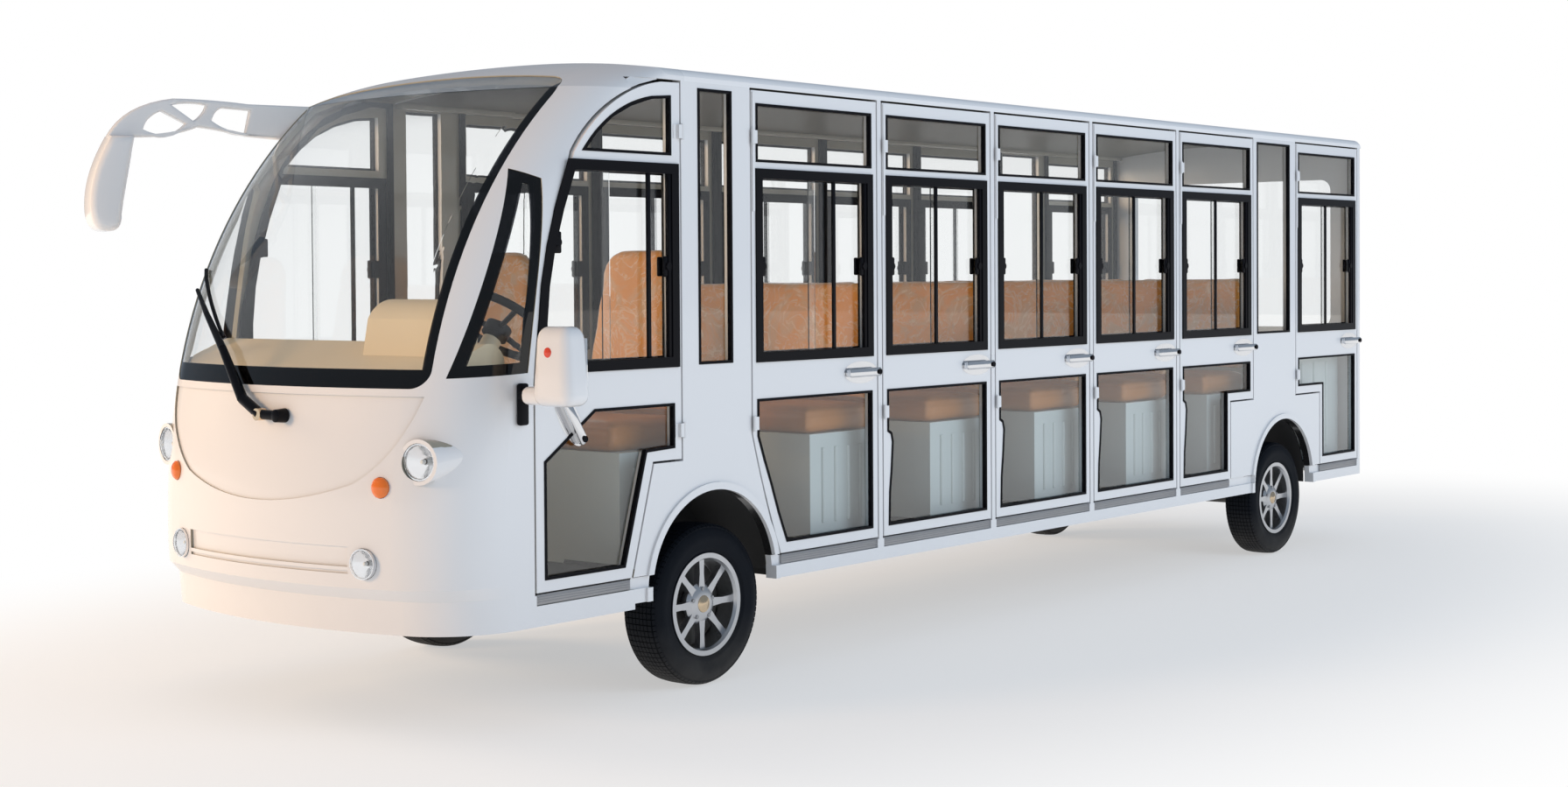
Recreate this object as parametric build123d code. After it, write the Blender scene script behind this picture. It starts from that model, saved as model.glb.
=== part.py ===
# Closed electric sightseeing bus with seven hinged doors on each side.
# Millimetres. X points forward, Y to the bus's left, Z up.
# The origin lies on the ground under the middle of the bus.
from build123d import *
import math
import os

os.makedirs("parts", exist_ok=True)

# Length: two axles, the nose ahead of the front one and the back behind the rear one
WHEELBASE = 4505.0
NOSE_REACH = 1406.0
TAIL_REACH = 955.0
FRONT_X = (WHEELBASE + TAIL_REACH - NOSE_REACH) / 2
REAR_X = FRONT_X - WHEELBASE
BACK_X = REAR_X - TAIL_REACH

# Width and walls
HALF_W = 790.0
WALL = 40.0
SHELL = 35.0
PANE = 6.0
PANE_IN = 14.0
IN_Y = HALF_W - WALL
CUT = 60.0

# Heights
SILL_Z = 350.0
STEP_Z = 398.0
STEP_IN = 12.0
DOOR_Z = 440.0
FLOOR_Z = 455.0
FLOOR_T = 30.0
BELT_Z = 1109.0
DOOR_TOP = 2140.0
DOOR_GAP = 8.0
RAIL_Z = DOOR_TOP + DOOR_GAP
EAVE_Z = DOOR_TOP + 52.0
CROWN = 43.0
EAVE_R = 40.0
EAVE_OUT = 4.0

# Wheels
TYRE_R = 290.0
TYRE_W = 165.0
WHEEL_IN = 40.0
TRACK_Y = HALF_W - WHEEL_IN - TYRE_W / 2
KINGPIN_Y = TRACK_Y - 142.5
RIM_R = 172.0
LIP_R = 184.0
SPINDLE_R = 20.0
SPIN_GAP = 6.0
SPOKES = 8

# Wheel arches and the housings behind them
ARCH_R = 335.0
ARCH_Z = 372.0
ARCH_DX = 15.0
FLARE_W = 26.0
FLARE_OUT = 10.0
HOUSE_T = 8.0
HOUSE_IN = TRACK_Y - 250.0
HOUSE_OUT = IN_Y - 10.0
STEER_ROOM = 60.0

# Door layout along the side
FRONT_POST = 203.0
REAR_POST = 353.0
POST_GAP = 41.0
ROWS = 5
DOOR_W = (WHEELBASE - FRONT_POST - REAR_POST - (ROWS - 1) * POST_GAP) / ROWS
EDGE_FRONT = 24.0
EDGE_REAR = 32.0
FRAME_BAR = 30.0
STILE = 26.0
NOTCH_Z = 828.0
PIVOT_OUT = 12.0
HINGE_R = 6.0
HINGE_Z = (BELT_Z - 180.0, DOOR_TOP - 170.0)

# Heights of a door's three panes
UPPER_PANE = (DOOR_TOP - 260.0, DOOR_TOP - 46.0)
SLIDE_PANE = (BELT_Z + 45.0, DOOR_TOP - 287.0)
LOWER_PANE = (DOOR_Z + 38.0, BELT_Z - 92.0)

# Nose in plan, and the lamps and windscreen in it
NOSE_R = 2000.0
CORNER_R = 300.0
NOSE_LOW = 330.0
SCREEN_Y = HALF_W - 130.0
SCREEN_LOW = BELT_Z + 6.0
SCREEN_BACK = 560.0

# Seats
SEAT_Y = IN_Y - 60.0
BASE_TOP = 855.0
BASE_T = 12.0
BASE_DEPTH = 400.0
LEG_ROOM = 466.0
RIBS = 4
RIB_R = 9.0
SEAT_TOP = 960.0
BENCH_TOP = 1450.0
FRONT_SEAT_TOP = 1580.0
AISLE_Y = 120.0

# Frame rails, towing eyes and the steering column
RAIL_Y = HOUSE_IN - 90.0
RAIL_H = 70.0
RAIL_TOP = FLOOR_Z - FLOOR_T
TOW_Z = 305.0
TOW_R = 16.0
DRIVER_Y = HALF_W - 430.0
COLUMN = Vector(-0.62, 0, 0.785)


def front(x):
    """Distance ahead of the front axle, as a place along the bus."""
    return FRONT_X + x


def rear(x):
    """Distance ahead of the rear axle, as a place along the bus."""
    return REAR_X + x


SIDE_VIEW = Plane(origin=(0, 0, 0), x_dir=(1, 0, 0), z_dir=(0, -1, 0))


def face_on(plane, points):
    """Closed face on a plane; a point with a third entry is an arc's middle."""
    edges = []
    ring = list(points) + [points[0]]
    i = 0
    while i < len(points):
        a, b = ring[i][:2], ring[i + 1][:2]
        if len(ring[i + 1]) == 3:
            edges.append(ThreePointArc(a, b, ring[i + 2][:2]))
            i += 2
        else:
            edges.append(Line(a, b))
            i += 1
    return Face(Wire(edges)).moved(plane.location)


def face_xz(points):
    """Closed face in side view, over the bus's middle line."""
    return face_on(SIDE_VIEW, points)


def slab(face, y0, y1):
    """Solid of a side-view face between two places across the bus."""
    solid = extrude(face, amount=abs(y1 - y0), dir=(0, 1, 0))
    return solid.moved(Location((0, min(y0, y1), 0)))


def through(face):
    """Cutter through the left wall."""
    return slab(face, IN_Y - CUT, HALF_W + CUT)


def rect(x0, x1, z0, z1):
    return [(x0, z0), (x1, z0), (x1, z1), (x0, z1)]


def box(x0, x1, y0, y1, z0, z1):
    size = Box(abs(x1 - x0), abs(y1 - y0), abs(z1 - z0))
    return size.moved(Location(((x0 + x1) / 2, (y0 + y1) / 2, (z0 + z1) / 2)))


def span(x0, x1, z0, z1):
    """Box right across the bus and past both sides."""
    return box(x0, x1, -2 * HALF_W, 2 * HALF_W, z0, z1)


def rod(start, end, radius):
    """Round bar between two points."""
    a = Vector(*start)
    d = Vector(*end) - a
    return extrude(Plane(origin=a, z_dir=d) * Circle(radius), amount=d.length)


def flip(shape):
    return mirror(shape, about=Plane.XZ)


def gather(shapes):
    """One node of several solids that stand apart."""
    solids = []
    for shape in shapes:
        solids.extend(shape.solids())
    return Compound(children=solids)


def save(shape, name):
    export_step(shape, "parts/" + name + ".step")


def save_pair(shape, name):
    save(shape, name + "_left")
    save(flip(shape), name + "_right")


# Nose and cab share one skin: a plan outline carried up the side profile.
# Columns: reach ahead of the front axle, height, kind of run that ends there.
RISE = EAVE_Z - BELT_Z
PROFILE = [
    (NOSE_REACH - 54, NOSE_LOW, "start"),
    (NOSE_REACH - 44, DOOR_Z, "line"),
    (NOSE_REACH - 4, DOOR_Z + 40, "line"),
    (NOSE_REACH, DOOR_Z + 220, "bend"),
    (NOSE_REACH - 48, BELT_Z, "arc"),
    (NOSE_REACH - 239, BELT_Z + 0.478 * RISE, "bend"),
    (NOSE_REACH - 641, BELT_Z + 0.922 * RISE, "arc"),
    (NOSE_REACH - 956, BELT_Z + 1.013 * RISE, "bend"),
    (NOSE_REACH - 1346, BELT_Z + 1.065 * RISE, "arc"),
]


def profile_wire(inset):
    """Side profile, drawn in square to itself."""
    pts = []
    last = len(PROFILE) - 1
    for k, (x, z, kind) in enumerate(PROFILE):
        a, b = PROFILE[max(k - 1, 0)], PROFILE[min(k + 1, last)]
        run = math.hypot(b[0] - a[0], b[1] - a[1])
        drop = inset * (a[0] - b[0]) / run if k else 0.0
        pts.append((front(x) - inset * (b[1] - a[1]) / run, 0, z - drop))
    edges = []
    for k, row in enumerate(PROFILE):
        if row[2] == "line":
            edges.append(Line(pts[k - 1], pts[k]))
        elif row[2] == "arc":
            edges.append(ThreePointArc(pts[k - 2], pts[k - 1], pts[k]))
    return Wire(edges), pts[0]


def skin(inset):
    """Everything inside the nose and cab skin, drawn in by the inset."""
    path, (tip, y, z) = profile_wire(inset)
    half = HALF_W - inset
    yc = HALF_W - CORNER_R
    r = CORNER_R - inset
    xc = tip - NOSE_R + math.sqrt((NOSE_R - r) ** 2 - yc ** 2)
    turn = math.atan2(yc, xc - tip + NOSE_R)
    mid = (turn + math.pi / 2) / 2
    t = (xc + r * math.cos(turn), yc + r * math.sin(turn))
    m = (xc + r * math.cos(mid), yc + r * math.sin(mid))
    back = tip - WHEELBASE - TAIL_REACH - NOSE_REACH
    outline = Wire([
        Line((back, half, z), (xc, half, z)),
        ThreePointArc((xc, half, z), (m[0], m[1], z), (t[0], t[1], z)),
        ThreePointArc((t[0], t[1], z), (tip, 0, z), (t[0], -t[1], z)),
        ThreePointArc((t[0], -t[1], z), (m[0], -m[1], z), (xc, -half, z)),
        Line((xc, -half, z), (back, -half, z)),
        Line((back, -half, z), (back, half, z)),
    ])
    return Solid.sweep(Face(outline), path, mode=Vector(0, 0, 1)) & roof_core(inset)


def roof_core(inset):
    """Everything under the roof's outer surface, drawn in by the inset."""
    h = HALF_W - inset
    w = h + EAVE_OUT
    e = EAVE_Z - inset
    r = EAVE_R
    s = r * (1 - math.sqrt(0.5))
    outline = Wire([
        Line((0, -w, 0), (0, w, 0)),
        Line((0, w, 0), (0, w, e - r)),
        ThreePointArc((0, w, e - r), (0, h - s, e - s), (0, h - r, e)),
        ThreePointArc((0, h - r, e), (0, 0, e + CROWN), (0, -h + r, e)),
        ThreePointArc((0, -h + r, e), (0, -h + s, e - s), (0, -w, e - r)),
        Line((0, -w, e - r), (0, -w, 0)),
    ])
    reach = 2 * (WHEELBASE + TAIL_REACH)
    return extrude(Face(outline), amount=reach, dir=(1, 0, 0)).moved(Location((-reach / 2, 0, 0)))


# Doors of one side, from the front. Columns: name, front edge, rear edge
DOORS = [("front_door", front(895.0), front(187.0))]
for k in range(ROWS):
    edge = front(-FRONT_POST) - k * (DOOR_W + POST_GAP)
    DOORS.append(("passenger_door_" + str(k + 1), edge, edge - DOOR_W))
DOORS.append(("rear_door", rear(-138.0), BACK_X + 65.0))


def front_door_shape(a, b):
    """Front door: its upper edge follows the windscreen pillar."""
    low, high = LOWER_PANE
    z0, z1 = SLIDE_PANE
    outline = [
        (front(446), DOOR_Z), (a, DOOR_Z), (a, BELT_Z + 11),
        (front(826), BELT_Z + 421, 0), (front(705), DOOR_TOP - 260),
        (front(540), DOOR_TOP - 100, 0), (front(280), DOOR_TOP - 2),
        (b, DOOR_TOP), (b, NOTCH_Z), (front(335), NOTCH_Z),
    ]
    r = b + EDGE_REAR + 13
    upper = [(r, DOOR_TOP - 255), (front(672), DOOR_TOP - 255), (front(530), DOOR_TOP - 128, 0),
             (front(330), DOOR_TOP - 54), (r, DOOR_TOP - 46)]
    slide = [(r, z0 + FRAME_BAR), (front(846), z0 + FRAME_BAR), (front(846), BELT_Z + 181),
             (front(798), BELT_Z + 451, 0), (front(702), z1 - FRAME_BAR), (r, z1 - FRAME_BAR)]
    lower = [(front(478), low), (front(858), low), (front(858), NOTCH_Z + 38), (front(622), high + 8),
             (r - 10, high + 8), (r - 10, NOTCH_Z + 40), (front(366), NOTCH_Z + 34)]
    return outline, upper, slide, lower


def door_shape(name, a, b):
    """Outline of a door and its upper, sliding and lower panes."""
    if name == "front_door":
        return front_door_shape(a, b)
    f = a - EDGE_FRONT
    r = b + EDGE_REAR
    low, high = LOWER_PANE
    outline = rect(b, a, DOOR_Z, DOOR_TOP)
    upper = rect(r, f, *UPPER_PANE)
    z0, z1 = SLIDE_PANE
    slide = rect(r + FRAME_BAR, f - FRAME_BAR, z0 + FRAME_BAR, z1 - FRAME_BAR)
    lower = [(r, low), (f - 6, low), (f - 10, low + 130), (f - 22, low + 230, 0), (f - 30, low + 330),
             (f - 18, low + 366, 0), (f, low + 372), (f, high), (r, high)]
    if name == "passenger_door_1":
        outline = [(b, DOOR_Z), (front(-360), DOOR_Z), (front(-268), NOTCH_Z - 147, 0), (a, NOTCH_Z + 62),
                   (a, DOOR_TOP), (b, DOOR_TOP)]
        lower = [(r, low), (front(-392), low), (front(-300), NOTCH_Z - 128, 0), (f, NOTCH_Z + 52), (f, high),
                 (r, high)]
    elif b > REAR_X and b - REAR_POST - 1 < REAR_X:
        outline = [(rear(600), DOOR_Z), (a, DOOR_Z), (a, DOOR_TOP), (b, DOOR_TOP), (b, NOTCH_Z),
                   (rear(600), NOTCH_Z)]
        lower = [(rear(630), low)] + lower[1:] + [(r, NOTCH_Z + 38), (rear(630), NOTCH_Z + 38)]
    elif name == "rear_door":
        outline = [(b, DOOR_Z), (rear(-425), DOOR_Z), (rear(-425), NOTCH_Z), (a, NOTCH_Z), (a, DOOR_TOP),
                   (b, DOOR_TOP)]
        lower = [(r, low), (rear(-453), low), (rear(-453), NOTCH_Z + 38), (f, NOTCH_Z + 38), (f, high),
                 (r, high)]
    return outline, upper, slide, lower


def handle(x, z, slant):
    """Closed grip of a door, standing proud of the skin."""
    bar = box(-95, 95, HALF_W - 2, HALF_W + 26, -14, 14)
    bar = fillet(bar.edges().filter_by(Axis.Y), 12)
    bar = chamfer(bar.faces().sort_by(Axis.Y)[-1].edges(), 5)
    return bar.rotate(Axis.Y, slant).moved(Location((x, 0, z)))


def door_glass(upper, slide, lower):
    """Fixed panes above and below, and two sliding panes that pass each other."""
    y = HALF_W - PANE_IN - PANE
    glass = [slab(face_xz(upper), y, y + PANE), slab(face_xz(lower), y, y + PANE)]
    xs = [p[0] for p in slide]
    middle = (min(xs) + max(xs)) / 2
    whole = face_xz(slide)
    ahead = span(middle - STILE / 2, middle + HALF_W * 4, 0, DOOR_TOP)
    behind = span(middle - HALF_W * 4, middle + STILE / 2, 0, DOOR_TOP)
    glass.append(slab(whole, y, y + PANE) & ahead)
    glass.append(slab(whole, y - 2 * PANE, y - PANE) & behind)
    return gather(glass)


def hinges(edge, way):
    """Two barrels on the pivot line beside a door's edge, each on a leaf that lies on the door."""
    x = edge + way * DOOR_GAP / 2
    parts = None
    for z in HINGE_Z:
        leaf = box(edge - way * 34, x, HALF_W - 1, HALF_W + 3, z - 24, z + 24) - span(edge, x, 0, DOOR_TOP)
        arm = box(edge - way * 12, x, HALF_W + PIVOT_OUT - 3, HALF_W + PIVOT_OUT + 3, z - 24, z + 24)
        post = box(edge - way * 18, edge - way * 10, HALF_W - 1, HALF_W + PIVOT_OUT + 3, z - 24, z + 24)
        barrel = Cylinder(HINGE_R, 56).moved(Location((x, HALF_W + PIVOT_OUT, z)))
        hinge = leaf + post + arm + barrel
        parts = hinge if parts is None else parts + hinge
    return parts


door_faces = {}
for name, a, b in DOORS:
    outline, upper, slide, lower = door_shape(name, a, b)
    door_faces[name] = face_xz(outline)
    panel = slab(door_faces[name], IN_Y, HALF_W)
    for pane in (upper, slide, lower):
        panel = panel - through(face_xz(pane))
    if name == "front_door":
        panel = panel + handle(front(742), BELT_Z - 109, -58.0) + hinges(b, -1)
    else:
        panel = panel + handle(b + 104, BELT_Z - 19, 0.0) + hinges(a, 1)
        panel = panel + box(a - 14, a - 2, HALF_W - 1, HALF_W + 5, DOOR_TOP - 440, DOOR_TOP - 6)
    save_pair(panel, name)
    save_pair(door_glass(upper, slide, lower), name + "_glass")


def arch_face(axle, radius, low, room=0.0):
    """Wheel arch in side view: round above, straight down to the sill, longer by the room at each end."""
    x = axle + ARCH_DX
    r = radius + room
    return face_xz([(x - r, low), (x + r, low), (x + r, ARCH_Z), (x, ARCH_Z + radius, 0), (x - r, ARCH_Z)])


# Side frame: sill, posts, the two fixed panels with their tall windows, and the arch flares
TALL_Z = (SLIDE_PANE[0], DOOR_TOP - 12.0)
TALL = [(front(-92), front(92)), (rear(-62), rear(308))]
SPLIT_X = front(430)
side = slab(face_xz(rect(BACK_X + WALL, SPLIT_X, SILL_Z, RAIL_Z)), IN_Y, HALF_W)
for axle in (FRONT_X, REAR_X):
    side = side + slab(arch_face(axle, ARCH_R + FLARE_W, SILL_Z), HALF_W - 1, HALF_W + FLARE_OUT)
for name, a, b in DOORS:
    hole = offset(door_faces[name], amount=DOOR_GAP, kind=Kind.INTERSECTION)
    side = side - through(hole)
    side = side - box(b, a, HALF_W - STEP_IN, HALF_W + CUT, STEP_Z, DOOR_Z)
cab_side = face_xz(rect(DOORS[0][2] - DOOR_GAP, SPLIT_X + CUT, NOTCH_Z + DOOR_GAP, RAIL_Z + CUT))
side = side - through(cab_side)
for axle in (FRONT_X, REAR_X):
    side = side - through(arch_face(axle, ARCH_R, 0))
fixed = []
for x0, x1 in TALL:
    hole = face_xz(rect(x0, x1, *TALL_Z))
    side = side - through(hole)
    fixed.append(slab(hole, HALF_W - PANE_IN - PANE, HALF_W - PANE_IN))
save_pair(side, "side_frame")

# Front shell: nose, windscreen pillars and header in one moulding
ROOF_FRONT = front(159)
QUARTER = [(900.0, DOOR_TOP - 318), (826.0, DOOR_TOP - 351), (926.0, BELT_Z + 48), (1195.0, BELT_Z + 38)]
outer = skin(0.0)
inner = skin(SHELL)
shell = (outer - inner) & span(ROOF_FRONT, front(2 * NOSE_REACH), 0, 2 * EAVE_Z)
front_hole = offset(door_faces["front_door"], amount=DOOR_GAP, kind=Kind.INTERSECTION)
side_cut = through(front_hole) + through(face_xz(rect(ROOF_FRONT - CUT, SPLIT_X, 0, RAIL_Z)))
side_cut = side_cut + box(SPLIT_X, DOORS[0][1], HALF_W - STEP_IN, HALF_W + CUT, STEP_Z, DOOR_Z)
screen_plan = extrude(Plane.XY * RectangleRounded(2 * NOSE_REACH, 2 * SCREEN_Y, 120), amount=2 * EAVE_Z)
screen_plan = screen_plan.moved(Location((front(SCREEN_BACK) + NOSE_REACH, 0, 0)))
screen_view = extrude(Plane.YZ * RectangleRounded(2 * SCREEN_Y, 2 * EAVE_Z, 60), amount=2 * NOSE_REACH)
screen_view = screen_view.moved(Location((FRONT_X, 0, SCREEN_LOW + EAVE_Z)))
screen_zone = screen_plan & screen_view
quarter_zone = slab(face_xz([(front(x), z) for x, z in QUARTER]), SCREEN_Y - CUT, HALF_W + CUT)
for cutter in (side_cut, flip(side_cut), screen_zone, quarter_zone, flip(quarter_zone)):
    shell = shell - cutter
glass_skin = skin(3.0) - skin(3.0 + PANE)
windscreen = glass_skin & screen_zone
quarter = glass_skin & quarter_zone

# Hood panel, let into the nose along a U-shaped crease
HOOD_IN = 7.0
hood_edge = [
    (-SCREEN_Y + 10, SCREEN_LOW - 24), (-SCREEN_Y + 70, BELT_Z - 154), (-430, BELT_Z - 297), (0, BELT_Z - 367),
    (430, BELT_Z - 297), (SCREEN_Y - 70, BELT_Z - 154), (SCREEN_Y - 10, SCREEN_LOW - 24),
]
hood_wire = Wire([
    ThreePointArc(*[(0, y, z) for y, z in hood_edge[0:3]]),
    ThreePointArc(*[(0, y, z) for y, z in hood_edge[2:5]]),
    ThreePointArc(*[(0, y, z) for y, z in hood_edge[4:7]]),
    Line((0, hood_edge[6][0], hood_edge[6][1]), (0, hood_edge[0][0], hood_edge[0][1])),
])
hood_zone = extrude(Face(hood_wire), amount=NOSE_REACH, dir=(1, 0, 0)).moved(Location((FRONT_X, 0, 0)))
shell = shell - (hood_zone - skin(HOOD_IN))

# Lamps in the nose. Columns: inside the body side, height, radius, turn outwards
HEAD = (132.0, 887.0, 60.0, 12.0)
FOG = (315.0, 560.0, 50.0, 10.0)
BLINK = (256.0, 804.0, 34.0, 12.0)
POD_WALL = 13.0
POD_TAIL = (front(985), HALF_W - 22.0, 925.0)


def nose_x(y, z):
    """Front of the skin at a place across the bus and a height."""
    needle = outer & box(FRONT_X, front(2 * NOSE_REACH), y - 0.5, y + 0.5, z - 0.5, z + 0.5)
    return needle.bounding_box().max.X


def lamp_plane(row):
    inside, z, radius, turn = row
    y = HALF_W - inside
    aim = (math.cos(math.radians(turn)), math.sin(math.radians(turn)), 0)
    return Plane(origin=(nose_x(y, z), y, z), z_dir=aim)


def lamp(row, proud):
    """Bore through the shell and the lens that stands in it."""
    plane = lamp_plane(row)
    hole = extrude(plane * Circle(row[2]), amount=3 * SHELL, both=True)
    lens = extrude(plane.offset(-SHELL + 5) * Circle(row[2] - 1), amount=SHELL + proud)
    return hole, lens


# Headlamp pod: an oblique cone from the lens back into the nose corner
pod_plane = lamp_plane(HEAD).offset(12)
tail_plane = Plane(origin=POD_TAIL, z_dir=pod_plane.z_dir)
pod = loft([(pod_plane * Circle(HEAD[2] + POD_WALL)).face(), (tail_plane * Circle(POD_WALL)).face()])
pod = pod - skin(SHELL)
shell = shell + pod + flip(pod)
lamp_holes = []
clear_lamps = []
signals = []
for row, proud, group in ((HEAD, 4.0, clear_lamps), (FOG, 6.0, clear_lamps), (BLINK, 10.0, signals)):
    hole, lens = lamp(row, proud)
    lamp_holes.extend([hole, flip(hole)])
    group.extend([lens, flip(lens)])

for hole in lamp_holes:
    shell = shell - hole

# Recessed band with a rib between the fog lamps
BAND_Y = HALF_W - FOG[0] - FOG[2] - 12
for z0, z1, deep in ((FOG[1] - 12, FOG[1] + 52, 10.0), (FOG[1] - 34, FOG[1] - 24, 7.0)):
    band = box(FRONT_X, front(2 * NOSE_REACH), -BAND_Y, BAND_Y, z0, z1)
    shell = shell - (band - skin(deep))
save(shell, "front_shell")
save(windscreen, "windscreen")
save(gather(clear_lamps), "front_lamps")

# Roof from the front shell to the back
roof = (roof_core(0.0) - roof_core(WALL)) & box(BACK_X, ROOF_FRONT, -HALF_W, HALF_W, RAIL_Z, 2 * EAVE_Z)
roof = fillet(roof.edges().filter_by(Axis.Z, reverse=True).group_by(Axis.X)[0].sort_by(Axis.Z)[-1], 25)
save(roof, "roof")

# Back wall with its window and tail lamps
TAIL_OUT = 12.0
TAIL_DEEP = 28.0
TAIL_Z = BELT_Z - 209
wall = box(BACK_X, BACK_X + WALL, -HALF_W, HALF_W, SILL_Z, RAIL_Z)
wall = fillet(wall.edges().filter_by(Axis.Z).group_by(Axis.X)[0], WALL - 8)
back_view = Plane.YZ * RectangleRounded(2 * (HALF_W - 170), DOOR_TOP - BELT_Z - 210, 60)
back_hole = extrude(back_view, amount=CUT + WALL, both=True)
back_hole = back_hole.moved(Location((BACK_X, 0, (DOOR_TOP + BELT_Z) / 2 - 55)))
back_pane = back_hole & span(BACK_X + PANE_IN, BACK_X + PANE_IN + PANE, 0, 2 * EAVE_Z)
wall = wall - back_hole
for y in (HALF_W - 100, 100 - HALF_W):
    slot = Plane.YZ * SlotOverall(280, 90, rotation=90)
    wall = wall - extrude(slot, amount=TAIL_DEEP, both=True).moved(Location((BACK_X, y, TAIL_Z)))
    lens = extrude(Plane.YZ * SlotOverall(278, 88, rotation=90), amount=TAIL_OUT + TAIL_DEEP - 1)
    signals.append(lens.moved(Location((BACK_X - TAIL_OUT, y, TAIL_Z))))
save(wall, "rear_wall")
save(gather(signals), "signal_lamps")
fixed = fixed + [flip(pane) for pane in fixed] + [quarter, flip(quarter), back_pane]
save(gather(fixed), "fixed_glass")

# Floor with the four wheel housings
deck = box(BACK_X + WALL, front(NOSE_REACH - 226), -IN_Y, IN_Y, RAIL_TOP, FLOOR_Z) & inner
housings = []
for axle, room in ((FRONT_X, STEER_ROOM), (REAR_X, 0.0)):
    for s in (1, -1):
        big = slab(arch_face(axle, ARCH_R + HOUSE_T, SILL_Z, room), s * (HOUSE_IN - HOUSE_T), s * HOUSE_OUT)
        small = slab(arch_face(axle, ARCH_R, 0, room), s * HOUSE_IN, s * (IN_Y + CUT))
        deck = deck + big - small
        housings.append(big)
save(deck, "floor")

# Ladder frame under the floor
frame = None
for s in (1, -1):
    bar = box(BACK_X + 60, front(1150), s * RAIL_Y - 25, s * RAIL_Y + 25, RAIL_TOP - RAIL_H, RAIL_TOP)
    frame = bar if frame is None else frame + bar
cross = [front(1100), front(620), rear(800), rear(-795)]
outrigger = [front(-700) - k * (WHEELBASE - 1500) / 3 for k in range(4)]
for x in cross + outrigger:
    frame = frame + box(x - 30, x + 30, -RAIL_Y, RAIL_Y, RAIL_TOP - RAIL_H, RAIL_TOP)
for x in outrigger:
    frame = frame + box(x - 25, x + 25, -IN_Y, IN_Y, RAIL_TOP - 45, RAIL_TOP)
for x in (cross[0], cross[-1]):
    lug = slab(face_xz([(x - 30, RAIL_TOP - 60), (x - 30, TOW_Z), (x, TOW_Z - 30, 0), (x + 30, TOW_Z),
                        (x + 30, RAIL_TOP - 60)]), -12, 12)
    frame = frame + lug - rod((x, -50, TOW_Z), (x, 50, TOW_Z), TOW_R)
JACK_R = 32.0
JACK_T = 14.0
for x in (front(-900), rear(1105)):
    for s in (1, -1):
        frame = frame + Cylinder(JACK_R, 2 * JACK_T).moved(Location((x, s * RAIL_Y, RAIL_TOP - RAIL_H)))
save(frame, "chassis_frame")

# Axles: the front beam carries king pin eyes, the rear tube carries stub ends
STUB_END = TRACK_Y + 20
beam = box(FRONT_X - 28, FRONT_X + 28, -KINGPIN_Y, KINGPIN_Y, TYRE_R - 30, TYRE_R + 30)
for s in (1, -1):
    place = Location((FRONT_X, s * KINGPIN_Y, TYRE_R))
    beam = beam + Cylinder(30, 64).moved(place) - Cylinder(17, 100).moved(place)
save(beam, "front_axle")
tube = rod((REAR_X, -HOUSE_IN - 90, TYRE_R), (REAR_X, HOUSE_IN + 90, TYRE_R), 42)
tube = tube + rod((REAR_X, -STUB_END, TYRE_R), (REAR_X, STUB_END, TYRE_R), SPINDLE_R)
tube = tube + rod((REAR_X, -90, TYRE_R), (REAR_X, 90, TYRE_R), 95)
tube = tube + rod((REAR_X, 0, TYRE_R), (REAR_X + 430, 0, TYRE_R), 88)
save(tube, "rear_axle")

# Leaf springs between rails and axles
springs = []
LEAF_T = 16.0
SPRING_HALF = 330.0
for axle, seat_z in ((FRONT_X, TYRE_R + 31), (REAR_X, TYRE_R + 43)):
    for s in (1, -1):
        end_z = RAIL_TOP - RAIL_H
        leaf = face_xz([
            (axle - SPRING_HALF, end_z), (axle - SPRING_HALF, end_z - 14), (axle, seat_z, 0),
            (axle + SPRING_HALF, end_z - 14), (axle + SPRING_HALF, end_z), (axle, seat_z + LEAF_T, 0),
        ])
        springs.append(slab(leaf, s * RAIL_Y - 28, s * RAIL_Y + 28))
save(gather(springs), "leaf_springs")

# Steering knuckles with stub axles and arms
knuckle = Cylinder(11, 92).moved(Location((FRONT_X, KINGPIN_Y, TYRE_R)))
for z in (TYRE_R - 46, TYRE_R + 46):
    knuckle = knuckle + box(FRONT_X - 22, FRONT_X + 22, KINGPIN_Y - 22, KINGPIN_Y + 52, z - 8, z + 8)
knuckle = knuckle + box(FRONT_X - 30, FRONT_X + 30, KINGPIN_Y + 37, KINGPIN_Y + 53, TYRE_R - 54, TYRE_R + 54)
knuckle = knuckle + rod((FRONT_X, KINGPIN_Y + 45, TYRE_R), (FRONT_X, STUB_END, TYRE_R), SPINDLE_R)
knuckle = knuckle + box(FRONT_X - 130, FRONT_X, KINGPIN_Y - 10, KINGPIN_Y + 10, TYRE_R - 54, TYRE_R - 40)
save_pair(knuckle, "knuckle")

# Tyre section. Columns: radius, distance from the wheel's middle plane
TYRE_SECTION = [
    (RIM_R, TYRE_W / 2 - 18), (RIM_R + 14, TYRE_W / 2 - 18), (RIM_R + 28, TYRE_W / 2 - 5),
    (RIM_R + 60, TYRE_W / 2), (TYRE_R - 28, TYRE_W / 2 - 2), (TYRE_R - 9, TYRE_W / 2 - 14),
    (TYRE_R, TYRE_W / 2 - 34),
]


def ring(section):
    """Solid of revolution about the axle line through the origin."""
    return revolve(Face(Wire.make_polygon([(0, a, r) for r, a in section])), Axis.Y)


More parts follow.
